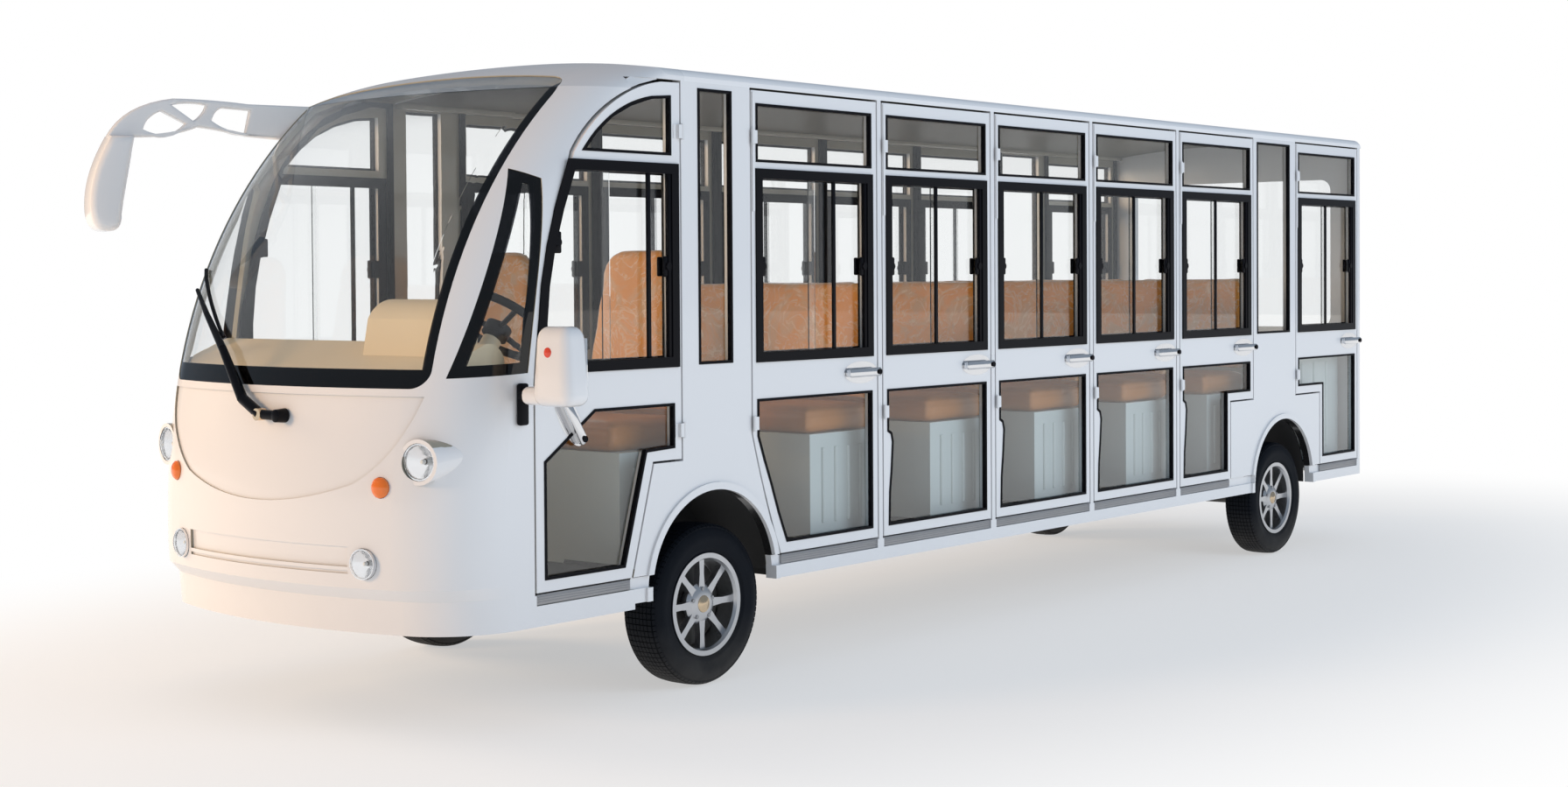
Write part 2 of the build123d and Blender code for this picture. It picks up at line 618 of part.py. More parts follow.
tyre = ring(TYRE_SECTION + [(r, -a) for r, a in reversed(TYRE_SECTION)])
bead = TYRE_W / 2 - 18
rim = ring([
    (RIM_R, -bead - 8), (LIP_R, -bead - 8), (LIP_R, -bead - 2), (RIM_R, -bead), (RIM_R, bead),
    (LIP_R, bead + 2),
    (LIP_R, bead + 8), (RIM_R - 6, bead + 8), (RIM_R - 12, bead - 4), (RIM_R - 16, -bead - 8),
])
bore = SPINDLE_R + SPIN_GAP
rim = rim + ring([(0, 52), (0, 30), (bore, 30), (bore, -40), (bore + 26, -40), (bore + 26, 40), (bore + 4, 52)])
spoke = face_xz([(-17, 44), (17, 44), (11, 110), (13, RIM_R - 6), (-13, RIM_R - 6), (-11, 110)])
spoke = slab(spoke, 22, 48)
for k in range(SPOKES):
    rim = rim + spoke.rotate(Axis.Y, 360.0 * k / SPOKES)
for name, x in (("front", FRONT_X), ("rear", REAR_X)):
    place = Location((x, TRACK_Y, TYRE_R))
    save_pair(tyre.moved(place), "tyre_" + name)
    save_pair(rim.moved(place), "rim_" + name)


def seat_base(x0, x1, top):
    """Hollow box under a seat or over the drive, open to the floor."""
    y = SEAT_Y - 10
    base = box(x0, x1, -y, y, FLOOR_Z, top)
    base = base - box(x0 + BASE_T, x1 - BASE_T, BASE_T - y, y - BASE_T, FLOOR_Z - 5, top - BASE_T)
    for k in range(RIBS):
        x = x0 + (k + 1) * (x1 - x0) / (RIBS + 1)
        for s in (y, -y):
            rib = Cylinder(RIB_R, top - FLOOR_Z - 110).moved(Location((x, s, (top + FLOOR_Z) / 2)))
            base = base + (rib - box(x0, x1, -y + 1, y - 1, 0, top))
    for housing in housings:
        base = base - housing
    return base


def seat(x, y0, y1, top):
    """Cushion and leaning back of one seat, from the front of its base."""
    cushion = box(x - 440, x + 25, y0, y1, BASE_TOP + 2, SEAT_TOP)
    cushion = fillet(cushion.edges().filter_by(Axis.Y).group_by(Axis.Z)[-1], 30)
    lean = [(x - 330, SEAT_TOP + 4), (x - 425, SEAT_TOP + 4), (x - 475, top), (x - 400, top)]
    rest = slab(face_xz(lean), y0, y1)
    rest = fillet(rest.edges().filter_by(Axis.Y).group_by(Axis.Z)[-1], 25)
    return [cushion, rest]


# Benches in two halves behind the passenger doors, two seats in front, a box over the drive
bases = [seat_base(front(0), front(390), BASE_TOP), seat_base(BACK_X + 80, rear(-120), BELT_Z - 80)]
pads = []
packs = []
PACK_GAP = 10.0
for name, a, b in DOORS[1:-1]:
    x = a - LEG_ROOM
    bases.append(seat_base(x - BASE_DEPTH, x, BASE_TOP))
    for y0, y1 in ((6, SEAT_Y), (-SEAT_Y, -6)):
        pads.extend(seat(x, y0, y1, BENCH_TOP))
    if x - BASE_DEPTH > rear(ARCH_R + 100):
        room = BASE_T + PACK_GAP
        packs.append(box(x - BASE_DEPTH + room, x - room, 90 - SEAT_Y, SEAT_Y - 90, FLOOR_Z, BASE_TOP - 75))
for y0, y1 in ((AISLE_Y, SEAT_Y - 30), (30 - SEAT_Y, -AISLE_Y)):
    pads.extend(seat(front(395), y0, y1, FRONT_SEAT_TOP))
save(gather(bases), "seat_bases")
save(gather(packs), "battery")
save(gather(pads), "seat_pads")

# Dashboard with the column shroud, and the steering wheel above it
HUB_C = Vector(front(640), DRIVER_Y, BELT_Z + 191)
DASH_Y = HALF_W - 110.0
BINNACLE_Y = 190.0
DASH_EDGE = [
    (front(1330), BELT_Z + 11), (front(1330), BELT_Z - 409), (front(965), BELT_Z - 469),
    (front(930), BELT_Z - 249),
    (front(925), BELT_Z + 61), (front(945), BELT_Z + 121, 0), (front(1010), BELT_Z + 141),
]
BINNACLE_EDGE = [
    (front(905), BELT_Z + 71), (front(1110), BELT_Z + 91), (front(1085), BELT_Z + 221),
    (front(1010), BELT_Z + 281, 0), (front(930), BELT_Z + 276), (front(895), BELT_Z + 191),
]
dash = slab(face_xz(DASH_EDGE), -DASH_Y, DASH_Y)
binnacle = slab(face_xz(BINNACLE_EDGE), DRIVER_Y - BINNACLE_Y, DRIVER_Y + BINNACLE_Y)
ends = binnacle.faces().sort_by(Axis.Y)
dash = dash + chamfer(ends[0].edges() + ends[-1].edges(), 25)
dash = dash & skin(SHELL + 4)
for hole in lamp_holes:
    dash = dash - hole
dash = dash + rod(tuple(HUB_C - COLUMN * 540), tuple(HUB_C - COLUMN * 62), 34)
save(dash, "dashboard")
wheel_plane = Plane(origin=HUB_C, x_dir=(0, 1, 0), z_dir=COLUMN)
RIM_CIRCLE = 190.0
wheel = wheel_plane * Torus(RIM_CIRCLE, 15)
wheel = wheel + extrude(wheel_plane.offset(-45) * Circle(48), amount=40)
for ang in (90, 210, 330):
    reach = (RIM_CIRCLE * math.cos(math.radians(ang)), RIM_CIRCLE * math.sin(math.radians(ang)), 0)
    wheel = wheel + rod(tuple(HUB_C - COLUMN * 20), tuple(wheel_plane.from_local_coords(Vector(*reach))), 10)
save(wheel, "steering_wheel")

# Wiper lying on the windscreen. Columns: place across, height
WIPER = [(-60.0, BELT_Z - 24), (-330.0, BELT_Z + 311), (-420.0, BELT_Z + 451)]
arm = [(nose_x(y, z) + 14, y, z) for y, z in WIPER]
wiper = rod(arm[0], arm[1], 8) + rod(arm[1], arm[2], 7) + Sphere(8).moved(Location(arm[1]))
foot = (arm[0][0] - 16, arm[0][1], arm[0][2] - 12)
wiper = wiper + rod(foot, (arm[0][0] + 10, arm[0][1], arm[0][2]), 13)
save(wiper - outer, "wiper")

# Mirrors: a low one beside the left windscreen post, a high one on an open arm at the right
HEAD_L = (120.0, 162.0, 250.0)
HEAD_R = 44.0
head_spot = Location((front(985), HALF_W + 209, BELT_Z + 76))
from_above = Plane.XY * RectangleRounded(HEAD_L[0], HEAD_L[1], HEAD_R)
from_ahead = Plane.YZ * RectangleRounded(HEAD_L[1], HEAD_L[2], HEAD_R)
head_l = extrude(from_above, amount=HEAD_L[2] / 2, both=True) & extrude(from_ahead, amount=HEAD_L[0], both=True)
foot_l = extrude(Plane.YZ * RectangleRounded(40, 140, 12), amount=20, both=True)
foot_l = foot_l.moved(Location((front(960), HALF_W + 20, BELT_Z - 49)))
arm_l = rod((front(960), HALF_W + 22, BELT_Z - 21), (front(975), HALF_W + 180, BELT_Z - 13), 20)
mirror_left = head_l.moved(head_spot) + foot_l + arm_l

# The right arm is a plate on an upright plane that leaves the body forwards and outwards.
# Points are distances along the plane and heights below the eaves.
ARM_T = 44.0
HEAD_T = 150.0
ARM_WAY = Vector(0.927, -0.375, 0)
arm_root = Vector(front(800), 50 - HALF_W, EAVE_Z)
arm_plane = Plane(origin=arm_root, x_dir=ARM_WAY, z_dir=ARM_WAY.cross(Vector(0, 0, 1)))
ARM_EDGE = [
    (-60, -92), (150, -75, 0), (325, -70), (500, -150, 0), (560, -214), (462, -214),
    (340, -205, 0), (237, -170),
    (140, -182, 0), (40, -202), (-60, -205),
]
ARM_HOLES = [
    [(415, -175), (395, -140, 0), (353, -120), (281, -161), (353, -192, 0)],
    [(325, -99), (208, -96), (264, -152)],
    [(184, -140), (155, -105), (68, -113), (85, -186)],
]
HEAD_EDGE = [
    (558, -218), (612, -330, 0), (628, -437), (626, -500), (572, -555, 0), (519, -500),
    (488, -340, 0), (470, -218),
]
NECK = [(472, -205), (552, -205), (552, -235), (480, -235)]
arm_r = extrude(face_on(arm_plane, ARM_EDGE), amount=ARM_T / 2, both=True)
for hole in ARM_HOLES:
    arm_r = arm_r - extrude(face_on(arm_plane, hole), amount=ARM_T, both=True)
head_r = extrude(face_on(arm_plane, HEAD_EDGE), amount=HEAD_T / 2, both=True)
head_plan = Plane(origin=arm_root + ARM_WAY * 549, x_dir=ARM_WAY, z_dir=(0, 0, 1))
head_r = head_r & extrude(head_plan * RectangleRounded(168, HEAD_T - 2, 56), amount=EAVE_Z / 2, both=True)
neck = extrude(face_on(arm_plane, NECK), amount=ARM_T / 3, both=True)
mirror_right = head_r + neck + (arm_r - outer)
save(gather([mirror_left, mirror_right]), "mirrors")
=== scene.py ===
# %% [markdown]
# # An electric sightseeing bus, dressed over its exact parts
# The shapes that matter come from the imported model: nose, doors, glass, frame and wheels.
# This lesson gives each of them a finish and adds what a body shop and a trimmer would fit:
# window frames, rubber seals, handles, padded seats, tyres with tread, lamps and mirrors.

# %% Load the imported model
import bpy
import bmesh
import math
from mathutils import Matrix, Vector


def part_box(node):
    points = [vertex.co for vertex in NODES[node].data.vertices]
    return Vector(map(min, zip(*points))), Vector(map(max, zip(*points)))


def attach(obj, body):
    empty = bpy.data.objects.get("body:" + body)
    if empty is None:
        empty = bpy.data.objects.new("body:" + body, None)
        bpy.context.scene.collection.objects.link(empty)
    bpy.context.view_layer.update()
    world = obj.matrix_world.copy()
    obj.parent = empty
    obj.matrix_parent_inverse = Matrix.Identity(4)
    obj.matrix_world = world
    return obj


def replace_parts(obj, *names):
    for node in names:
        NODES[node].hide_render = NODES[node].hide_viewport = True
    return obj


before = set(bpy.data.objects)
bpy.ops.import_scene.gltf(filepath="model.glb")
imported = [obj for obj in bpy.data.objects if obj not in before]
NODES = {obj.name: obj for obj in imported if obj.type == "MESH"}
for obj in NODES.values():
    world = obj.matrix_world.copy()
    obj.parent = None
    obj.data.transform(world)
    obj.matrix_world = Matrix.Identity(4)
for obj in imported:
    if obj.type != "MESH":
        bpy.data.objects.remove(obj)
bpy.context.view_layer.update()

# %% [markdown]
# ## Places along the bus
# The axles, the body side and the door edges come up in nearly every piece.
# They could be typed in, but reading them from the parts keeps the dressing tied to the model.

# %% Read the main places
tyre_lo, tyre_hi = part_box("tyre_front_left")
FRONT_X = (tyre_lo.x + tyre_hi.x) / 2
TYRE_R = (tyre_hi.z - tyre_lo.z) / 2
TRACK_Y = (tyre_lo.y + tyre_hi.y) / 2
rear_lo, rear_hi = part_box("tyre_rear_left")
REAR_X = (rear_lo.x + rear_hi.x) / 2
SIDE_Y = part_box("side_frame_left")[0].y + 0.040
DOOR_NAMES = ["front_door"] + ["passenger_door_%d" % k for k in range(1, 6)] + ["rear_door"]
SIDES = (("left", 1.0), ("right", -1.0))
print("axles at", round(FRONT_X, 3), round(REAR_X, 3), "body side at", round(SIDE_Y, 3))

# %% [markdown]
# ## The camera
# The photograph was taken from the front left, a little below the waist of the windows, with a long lens.
# The camera could be nudged by eye; here its place and turn were solved from the wheels and the door edges.
# A small shift keeps the picture's off-centre framing without tilting the uprights.

# %% Camera
PHOTO_W, PHOTO_H = 1792.0, 899.0
FOCAL_PX = 2459.1
CENTRE_PX = (914.76, 363.16)
CAMERA_FROM_AXLE = Vector((5.7935, 5.8144, 1.4691))
YAW, PITCH, ROLL = math.radians(218.68), math.radians(-1.1515), math.radians(0.3499)
look = Vector((math.cos(YAW) * math.cos(PITCH), math.sin(YAW) * math.cos(PITCH), math.sin(PITCH)))
level = Vector((math.sin(YAW), -math.cos(YAW), 0.0))
down = look.cross(level)
right = level * math.cos(ROLL) + down * math.sin(ROLL)
below = down * math.cos(ROLL) - level * math.sin(ROLL)
camera = bpy.data.objects.new("camera", bpy.data.cameras.new("camera"))
bpy.context.collection.objects.link(camera)
turn = Matrix((right, -below, -look)).transposed()
camera.matrix_world = Matrix.Translation(CAMERA_FROM_AXLE + Vector((FRONT_X, 0, 0))) @ turn.to_4x4()
camera.data.sensor_width = 36.0
camera.data.lens = FOCAL_PX * camera.data.sensor_width / PHOTO_W
camera.data.shift_x = (PHOTO_W / 2 - CENTRE_PX[0]) / PHOTO_W
camera.data.shift_y = (CENTRE_PX[1] - PHOTO_H / 2) / PHOTO_W
camera.data.clip_end = 200.0
bpy.context.scene.camera = camera
bpy.context.scene.view_settings.view_transform = "Standard"
print("lens", round(camera.data.lens, 2), "mm")

# %% [markdown]
# ## Node helpers
# Finishes, floor and sky are all node trees, and wiring them socket by socket hides what they do.
# With one function that takes values and sockets alike, a tree reads like a formula.

# %% Node helpers


def node_tree(owner):
    owner.use_nodes = True
    owner.node_tree.nodes.clear()
    return owner.node_tree


def feed(tree, socket, value):
    """Links a socket to an input, or sets a plain value on it."""
    if isinstance(value, bpy.types.NodeSocket):
        tree.links.new(value, socket)
    else:
        socket.default_value = value


def add(tree, kind, *inputs, **named):
    """New shader node. Inputs in order (None skips one) or by name; a leading underscore marks a setting."""
    node = tree.nodes.new("ShaderNode" + kind)
    for key, value in named.items():
        if key.startswith("_"):
            setattr(node, key[1:], value)
    for key, value in enumerate(inputs):
        if value is not None:
            feed(tree, node.inputs[key], value)
    for key, value in named.items():
        if not key.startswith("_"):
            feed(tree, node.inputs[key.replace("_", " ")], value)
    return node


def calc(tree, operation, *inputs, clamp=False):
    return add(tree, "Math", *inputs, _operation=operation, _use_clamp=clamp).outputs[0]


def vector_calc(tree, operation, *inputs):
    made = add(tree, "VectorMath", *inputs, _operation=operation)
    return made.outputs["Value" if operation in ("DOT_PRODUCT", "LENGTH") else "Vector"]


def eased(tree, value, low, high, top=1.0, bottom=0.0):
    """Value eased from bottom at low to top at high."""
    made = add(tree, "MapRange", Value=value, From_Min=low, From_Max=high, To_Min=bottom, To_Max=top,
               _interpolation_type="SMOOTHSTEP")
    return made.outputs["Result"]


def here(tree):
    return add(tree, "TexCoord").outputs["Object"]


def rgb(r, g, b):
    return (r, g, b, 1.0)


print("node helpers ready")

# %% [markdown]
# ## Light, floor and background
# The photograph has low warm light on the nose and cool open shade along the side, on a white ground.
# A warm lamp far ahead gives the first, and a weaker one on the right reaches the seats through the windows.
# A wide cool panel on the left and a cool world give the shade; one bright sky would wash out the warm nose.
# The world is plain white only where the camera or a pane looks straight at it.

# %% Studio
FLOOR_SIZE = 60.0
FLOOR_OVAL = (4.4, 2.3, 1.0)
# Columns: name, place, aim, size, power, colour
LAMPS = [
    ("low_sun", (13.0, -5.0, 4.2), (1.8, 0.0, 1.0), 3.6, 780.0, (1.0, 0.62, 0.32)),
    ("cabin_sun", (4.5, -9.0, 3.6), (-0.8, 0.0, 1.1), 5.0, 680.0, (1.0, 0.72, 0.45)),
    ("sky_panel", (-1.0, 9.5, 4.0), (-0.5, 0.0, 1.0), 8.0, 370.0, (0.74, 0.86, 1.0)),
]
world = bpy.data.worlds.new("studio")
bpy.context.scene.world = world
tree = node_tree(world)
rays = add(tree, "LightPath").outputs
seen = calc(tree, "MAXIMUM", rays["Is Camera Ray"], rays["Is Transmission Ray"])
shade = add(tree, "Background", Color=rgb(0.70, 0.83, 1.0), Strength=0.38)
white = add(tree, "Background", Color=rgb(1.0, 1.0, 1.0), Strength=1.0)
either = add(tree, "MixShader", seen, shade.outputs[0], white.outputs[0])
add(tree, "OutputWorld", either.outputs[0])
for name, place, aim, size, power, colour in LAMPS:
    data = bpy.data.lights.new(name, "AREA")
    data.shape = "DISK"
    data.size = size
    data.energy = power
    data.color = colour
    lamp = bpy.data.objects.new(name, data)
    lamp.location = place
    lamp.rotation_euler = (Vector(aim) - Vector(place)).to_track_quat("-Z", "Y").to_euler()
    lamp.visible_glossy = False
    lamp.visible_transmission = False
    bpy.context.collection.objects.link(lamp)
bm = bmesh.new()
bmesh.ops.create_grid(bm, x_segments=1, y_segments=1, size=FLOOR_SIZE)
floor_mesh = bpy.data.meshes.new("studio_floor")
bm.to_mesh(floor_mesh)
bm.free()
studio_floor = bpy.data.objects.new("studio_floor", floor_mesh)
studio_floor.location.z = -0.001
bpy.context.collection.objects.link(studio_floor)
floor_paint = bpy.data.materials.new("studio_floor_paint")
tree = node_tree(floor_paint)
radius = vector_calc(tree, "LENGTH", vector_calc(tree, "DIVIDE", here(tree), FLOOR_OVAL))
near = add(tree, "BsdfDiffuse", Color=rgb(0.93, 0.93, 0.93))
far = add(tree, "Emission", Color=rgb(1.0, 1.0, 1.0), Strength=1.0)
both = add(tree, "MixShader", eased(tree, radius, 0.75, 1.75, bottom=0.50), near.outputs[0], far.outputs[0])
add(tree, "OutputMaterial", both.outputs[0])
floor_mesh.materials.append(floor_paint)
print("studio ready, lamps:", len(LAMPS))

# %% [markdown]
# ## Shared effects as node groups
# Several finishes share the same small faults: a slight waviness, dust low down, a grain.
# Others need to know which faces look into the cabin or towards a wheel.
# Each could be rebuilt in every material; as a group with named inputs it is made once and tuned per finish.

# %% Effect groups


def group(name, inputs, outputs):
    """Empty shader node group with named float inputs and outputs."""
    tree = bpy.data.node_groups.new(name, "ShaderNodeTree")
    for label, value in inputs.items():
        sock = tree.interface.new_socket(label, in_out="INPUT", socket_type="NodeSocketFloat")
        sock.default_value = value
    for label in outputs:
        tree.interface.new_socket(label, in_out="OUTPUT", socket_type="NodeSocketFloat")
    return tree, tree.nodes.new("NodeGroupInput").outputs, tree.nodes.new("NodeGroupOutput").inputs


def noise_group(name, detail):
    """Noise between 0 and 1 at a scale, and the same noise as a value about 1."""
    tree, given, out = group(name, {"Scale": 8.0, "Strength": 0.1}, ["Noise", "Vary"])
    noise = add(tree, "TexNoise", Vector=here(tree), Scale=given["Scale"], Detail=detail, Roughness=0.55).outputs["Fac"]
    feed(tree, out["Noise"], noise)
    feed(tree, out["Vary"], calc(tree, "MULTIPLY_ADD", calc(tree, "SUBTRACT", noise, 0.5), given["Strength"], 1.0))
    return tree


def dust_group():
    """Mask of road dust: strongest at the ground, broken up by noise."""
    tree, given, out = group("road_dust", {"Top": 0.6, "Amount": 0.3}, ["Mask"])
    spot = here(tree)
    height = add(tree, "MapRange", Value=add(tree, "SeparateXYZ", spot).outputs["Z"], From_Min=0.0,
                 From_Max=given["Top"], To_Min=1.0, To_Max=0.0)
    noise = add(tree, "TexNoise", Vector=spot, Scale=9.0, Detail=6.0)
    broken = calc(tree, "MULTIPLY", height.outputs["Result"], noise.outputs["Fac"])
    feed(tree, out["Mask"], calc(tree, "MULTIPLY", broken, given["Amount"], clamp=True))
    return tree


def lining_group():
    """Mask of the faces that look into the cabin: 1 behind the body side and above the sill."""
    tree, given, out = group("cabin_lining", {"Skin": 0.752, "Floor": 0.4}, ["Mask"])
    split = add(tree, "SeparateXYZ", here(tree)).outputs
    behind = calc(tree, "LESS_THAN", calc(tree, "ABSOLUTE", split["Y"]), given["Skin"])
    above = calc(tree, "GREATER_THAN", split["Z"], given["Floor"])
    feed(tree, out["Mask"], calc(tree, "MULTIPLY", behind, above))
    return tree


def towards(tree, point):
    """Mask of the faces that look towards a point, and the way from that point to the spot."""
    coord = add(tree, "TexCoord").outputs
    away = vector_calc(tree, "SUBTRACT", coord["Object"], point)
    return calc(tree, "LESS_THAN", vector_calc(tree, "DOT_PRODUCT", coord["Normal"], away), 0.5), away


def inward_group():
    """Mask of the faces of a hollow moulding that look towards a point inside it."""
    tree, given, out = group("inward_faces", {"X": 2.4, "Z": 1.2}, ["Mask"])
    heart = add(tree, "CombineXYZ", X=given["X"], Z=given["Z"]).outputs[0]
    feed(tree, out["Mask"], towards(tree, heart)[0])
    return tree


def crease_group():
    """Crumpled film: a height with sharp folds, a mask of broad hazy patches and one along the fold ridges, where a
    painted highlight goes.
    """
    tree, given, out = group("film_creases", {"Scale": 10.0, "Sharp": 0.5}, ["Height", "Mask", "FoldHighlight"])
    noise = add(tree, "TexNoise", Vector=here(tree), Scale=given["Scale"], Detail=3.0, Roughness=0.6, Distortion=2.2)
    folds = calc(tree, "PINGPONG", noise.outputs["Fac"], 0.11)
    feed(tree, out["Height"], folds)
    feed(tree, out["Mask"], eased(tree, noise.outputs["Fac"], given["Sharp"], 0.66, top=0.75))
    # Bright ridges of the folds: the mask of a painted highlight
    feed(tree, out["FoldHighlight"], eased(tree, folds, 0.070, 0.110, top=0.55))
    return tree


def arch_group():
    """Mask of the faces that look towards the nearest wheel: inside the wheel arches and under the floor."""
    places = {"Front": 0.0, "Rear": 0.0, "Track": 0.0, "Axle": 0.3, "Reach": 9.0}
    tree, given, out = group("wheel_facing", places, ["Mask"])
    split = add(tree, "SeparateXYZ", here(tree)).outputs
    fore = calc(tree, "GREATER_THAN", split["X"], 0.5)
    along_x = add(tree, "Mix", fore, None, given["Rear"], given["Front"], _data_type="FLOAT").outputs[0]
    along_y = calc(tree, "MULTIPLY", calc(tree, "SIGN", split["Y"]), given["Track"])
    hub = add(tree, "CombineXYZ", along_x, along_y, given["Axle"]).outputs[0]
    mask, away = towards(tree, hub)
    near = calc(tree, "LESS_THAN", vector_calc(tree, "LENGTH", away), given["Reach"])
    feed(tree, out["Mask"], calc(tree, "MULTIPLY", mask, near))
    return tree


CREASES = crease_group()
ARCH = arch_group()
INWARD = inward_group()
WAVES = noise_group("panel_waves", 2.0)
GRAIN = noise_group("fine_grain", 8.0)
DUST = dust_group()
LINING = lining_group()
print("groups:", [g.name for g in bpy.data.node_groups])

# %% [markdown]
# ## Finishes
# Every finish is a Principled surface with a little variation in colour and gloss; many also have a fine bump.
# A plain colour would be quicker, but under soft light it looks like a toy.

# %% Finish helpers
ROAD_DUST = rgb(0.30, 0.27, 0.23)
WHEELS = {"Front": FRONT_X, "Rear": REAR_X, "Track": TRACK_Y, "Axle": TYRE_R}


def use(tree, tree_group, **values):
    """Outputs of a group node with some of its inputs set."""
    node = tree.nodes.new("ShaderNodeGroup")
    node.node_tree = tree_group
    for key, value in values.items():
        node.inputs[key].default_value = value
    return node.outputs


def mix_colour(tree, mask, a, b):
    """Colour a where the mask is 0, b where it is 1; a and b are colours or sockets."""
    node = add(tree, "Mix", mask, _data_type="RGBA")
    feed(tree, node.inputs[6], a)
    feed(tree, node.inputs[7], b)
    return node.outputs[2]


def finish(name, colour, rough, metal=0.0, coat=0.0, vary=0.06, scale=6.0, bump=0.0, grain=300.0, dust=0.0,
           dust_top=0.6, second=None, spec=0.5):
    """Principled finish: colour varied by noise, gloss varied, fine bump, dust towards the ground."""
    material = bpy.data.materials.new(name)
    tree = node_tree(material)
    darker = tuple(c * (1.0 - vary) for c in colour[:3]) + (1.0,)
    base = mix_colour(tree, use(tree, WAVES, Scale=scale, Strength=vary)["Noise"], darker, colour)
    if second:
        mask, other = second(tree)
        base = mix_colour(tree, mask, base, other)
    if dust:
        base = mix_colour(tree, use(tree, DUST, Top=dust_top, Amount=dust)["Mask"], base, ROAD_DUST)
    fine = use(tree, GRAIN, Scale=grain, Strength=0.35)
    shader = add(tree, "BsdfPrincipled", Base_Color=base, Metallic=metal, Coat_Weight=coat, Coat_Roughness=0.06,
                 Specular_IOR_Level=spec, Roughness=calc(tree, "MULTIPLY", fine["Vary"], rough, clamp=True))
    if bump:
        relief = add(tree, "Bump", Strength=0.5, Distance=bump, Height=fine["Noise"])
        feed(tree, shader.inputs["Normal"], relief.outputs[0])
    add(tree, "OutputMaterial", shader.outputs[0])
    return material


def lined(colour):
    """Second colour on the faces that look into the cabin."""
    return lambda tree: (use(tree, LINING)["Mask"], colour)


def inside(colour, x, z):
    """Second colour on the faces that look towards the middle of a hollow moulding."""
    return lambda tree: (use(tree, INWARD, X=x, Z=z)["Mask"], colour)


def wheel_facing_colour(colour):
    """Second colour inside the wheel arches and under the floor."""
    return lambda tree: (use(tree, ARCH, **WHEELS)["Mask"], colour)


def arched(lining, dark):
    """Lining colour towards the cabin, and a dark one on the inner edge of the wheel arches behind their white lip."""
    def pick(tree):
        edge = use(tree, ARCH, Reach=0.47, **WHEELS)["Mask"]
        behind = use(tree, LINING, Skin=SIDE_Y - 0.006, Floor=0.436)["Mask"]
        arch = calc(tree, "MULTIPLY", edge, behind)
        either = calc(tree, "MAXIMUM", use(tree, LINING)["Mask"], arch)
        return either, mix_colour(tree, arch, lining, dark)
    return pick


def filmed(name, colour):
    """Leatherette still in its clear wrapping: hazy patches, a painted highlight along the folds and a painted sheen as
    a pale rim where the film turns away.
    """
    folds = {"Scale": 6.0, "Sharp": 0.5}

    def haze_and_highlights(tree):
        patch = use(tree, CREASES, Scale=4.0, Sharp=0.44)["Mask"]
        fold_highlight = use(tree, CREASES, **folds)["FoldHighlight"]
        # The pale rim follows the angle of view: a painted sheen
        rim = add(tree, "LayerWeight", Blend=0.25).outputs["Facing"]
        most = calc(tree, "MAXIMUM", patch, rim, clamp=True)
        # Near-white along the folds is a painted highlight; elsewhere the colour is the film's own hazy tint
        hazy_and_highlight_colour = mix_colour(tree, fold_highlight, rgb(0.66, 0.47, 0.30), rgb(1.0, 0.96, 0.88))
        return calc(tree, "MAXIMUM", most, fold_highlight, clamp=True), hazy_and_highlight_colour

    material = finish(name, colour, 0.45, coat=0.8, vary=0.15, bump=0.0006, grain=260.0, second=haze_and_highlights)
    tree = material.node_tree
    shader = next(n for n in tree.nodes if n.type == "BSDF_PRINCIPLED")
    relief = add(tree, "Bump", Strength=0.9, Distance=0.02, Height=use(tree, CREASES, **folds)["Height"])
    feed(tree, shader.inputs["Coat Normal"], relief.outputs[0])
    return material


def panel_white(name, second=None):
    return finish(name, WHITE, 0.22, coat=0.5, vary=0.02, scale=1.5, dust=0.12, dust_top=0.7, second=second)


print("finish helpers ready")

# %% Finishes of the bus
WHITE = rgb(0.80, 0.80, 0.81)
LINING_COLOUR = rgb(0.36, 0.33, 0.26)
# The cabin lining darkened to a painted shade for the underside of the roof
CEILING_PAINTED_SHADE = rgb(0.15, 0.135, 0.10)
ARCH_DARK = rgb(0.012, 0.012, 0.013)
JET = rgb(0.004, 0.004, 0.006)
body_white = panel_white("body_white")
door_white = panel_white("door_white", lined(LINING_COLOUR))
side_white = panel_white("side_white", arched(LINING_COLOUR, ARCH_DARK))
nose_white = panel_white("nose_white", inside(LINING_COLOUR, FRONT_X + 0.55, 1.2))
# Faces inside the roof take the lining's painted shade
roof_white = finish("roof_white", WHITE, 0.45, spec=0.08, vary=0.02, scale=1.5, second=inside(CEILING_PAINTED_SHADE, 0.0, 0.0))
frame_alloy = finish("cast_alloy", rgb(0.62, 0.63, 0.65), 0.32, metal=1.0, vary=0.08, scale=30.0, bump=0.0004,
                     grain=220.0, dust=0.2, dust_top=0.4)
chrome = finish("bright_chrome", rgb(0.75, 0.76, 0.78), 0.10, metal=1.0, vary=0.03, scale=20.0)
rubber_black = finish("seal_rubber", JET, 0.55, spec=0.12, vary=0.2, scale=40.0, bump=0.0003, grain=500.0)
black_paint = finish("satin_black", JET, 0.38, spec=0.12, vary=0.15, scale=25.0, bump=0.0003, dust=0.1)
under_black = finish("underbody_black", rgb(0.02, 0.02, 0.02), 0.6, vary=0.3, scale=14.0, bump=0.001, dust=0.5)
tyre_black = finish("tyre_rubber", rgb(0.006, 0.008, 0.012), 0.62, spec=0.12, vary=0.25, scale=18.0, bump=0.0006,
                    grain=400.0, dust=0.25, dust_top=0.25)
deck_grey = finish("deck_covering", rgb(0.20, 0.20, 0.19), 0.7, vary=0.2, scale=20.0, bump=0.001, dust=0.2,
                   second=wheel_facing_colour(ARCH_DARK))
base_grey = finish("base_moulding", rgb(0.62, 0.67, 0.66), 0.4, vary=0.05, scale=5.0, bump=0.0003, grain=250.0)
dash_beige = finish("dash_moulding", rgb(0.82, 0.67, 0.46), 0.5, bump=0.0008, grain=350.0)
case_dark = finish("battery_case", rgb(0.03, 0.03, 0.032), 0.5, vary=0.1, scale=15.0, bump=0.0004)
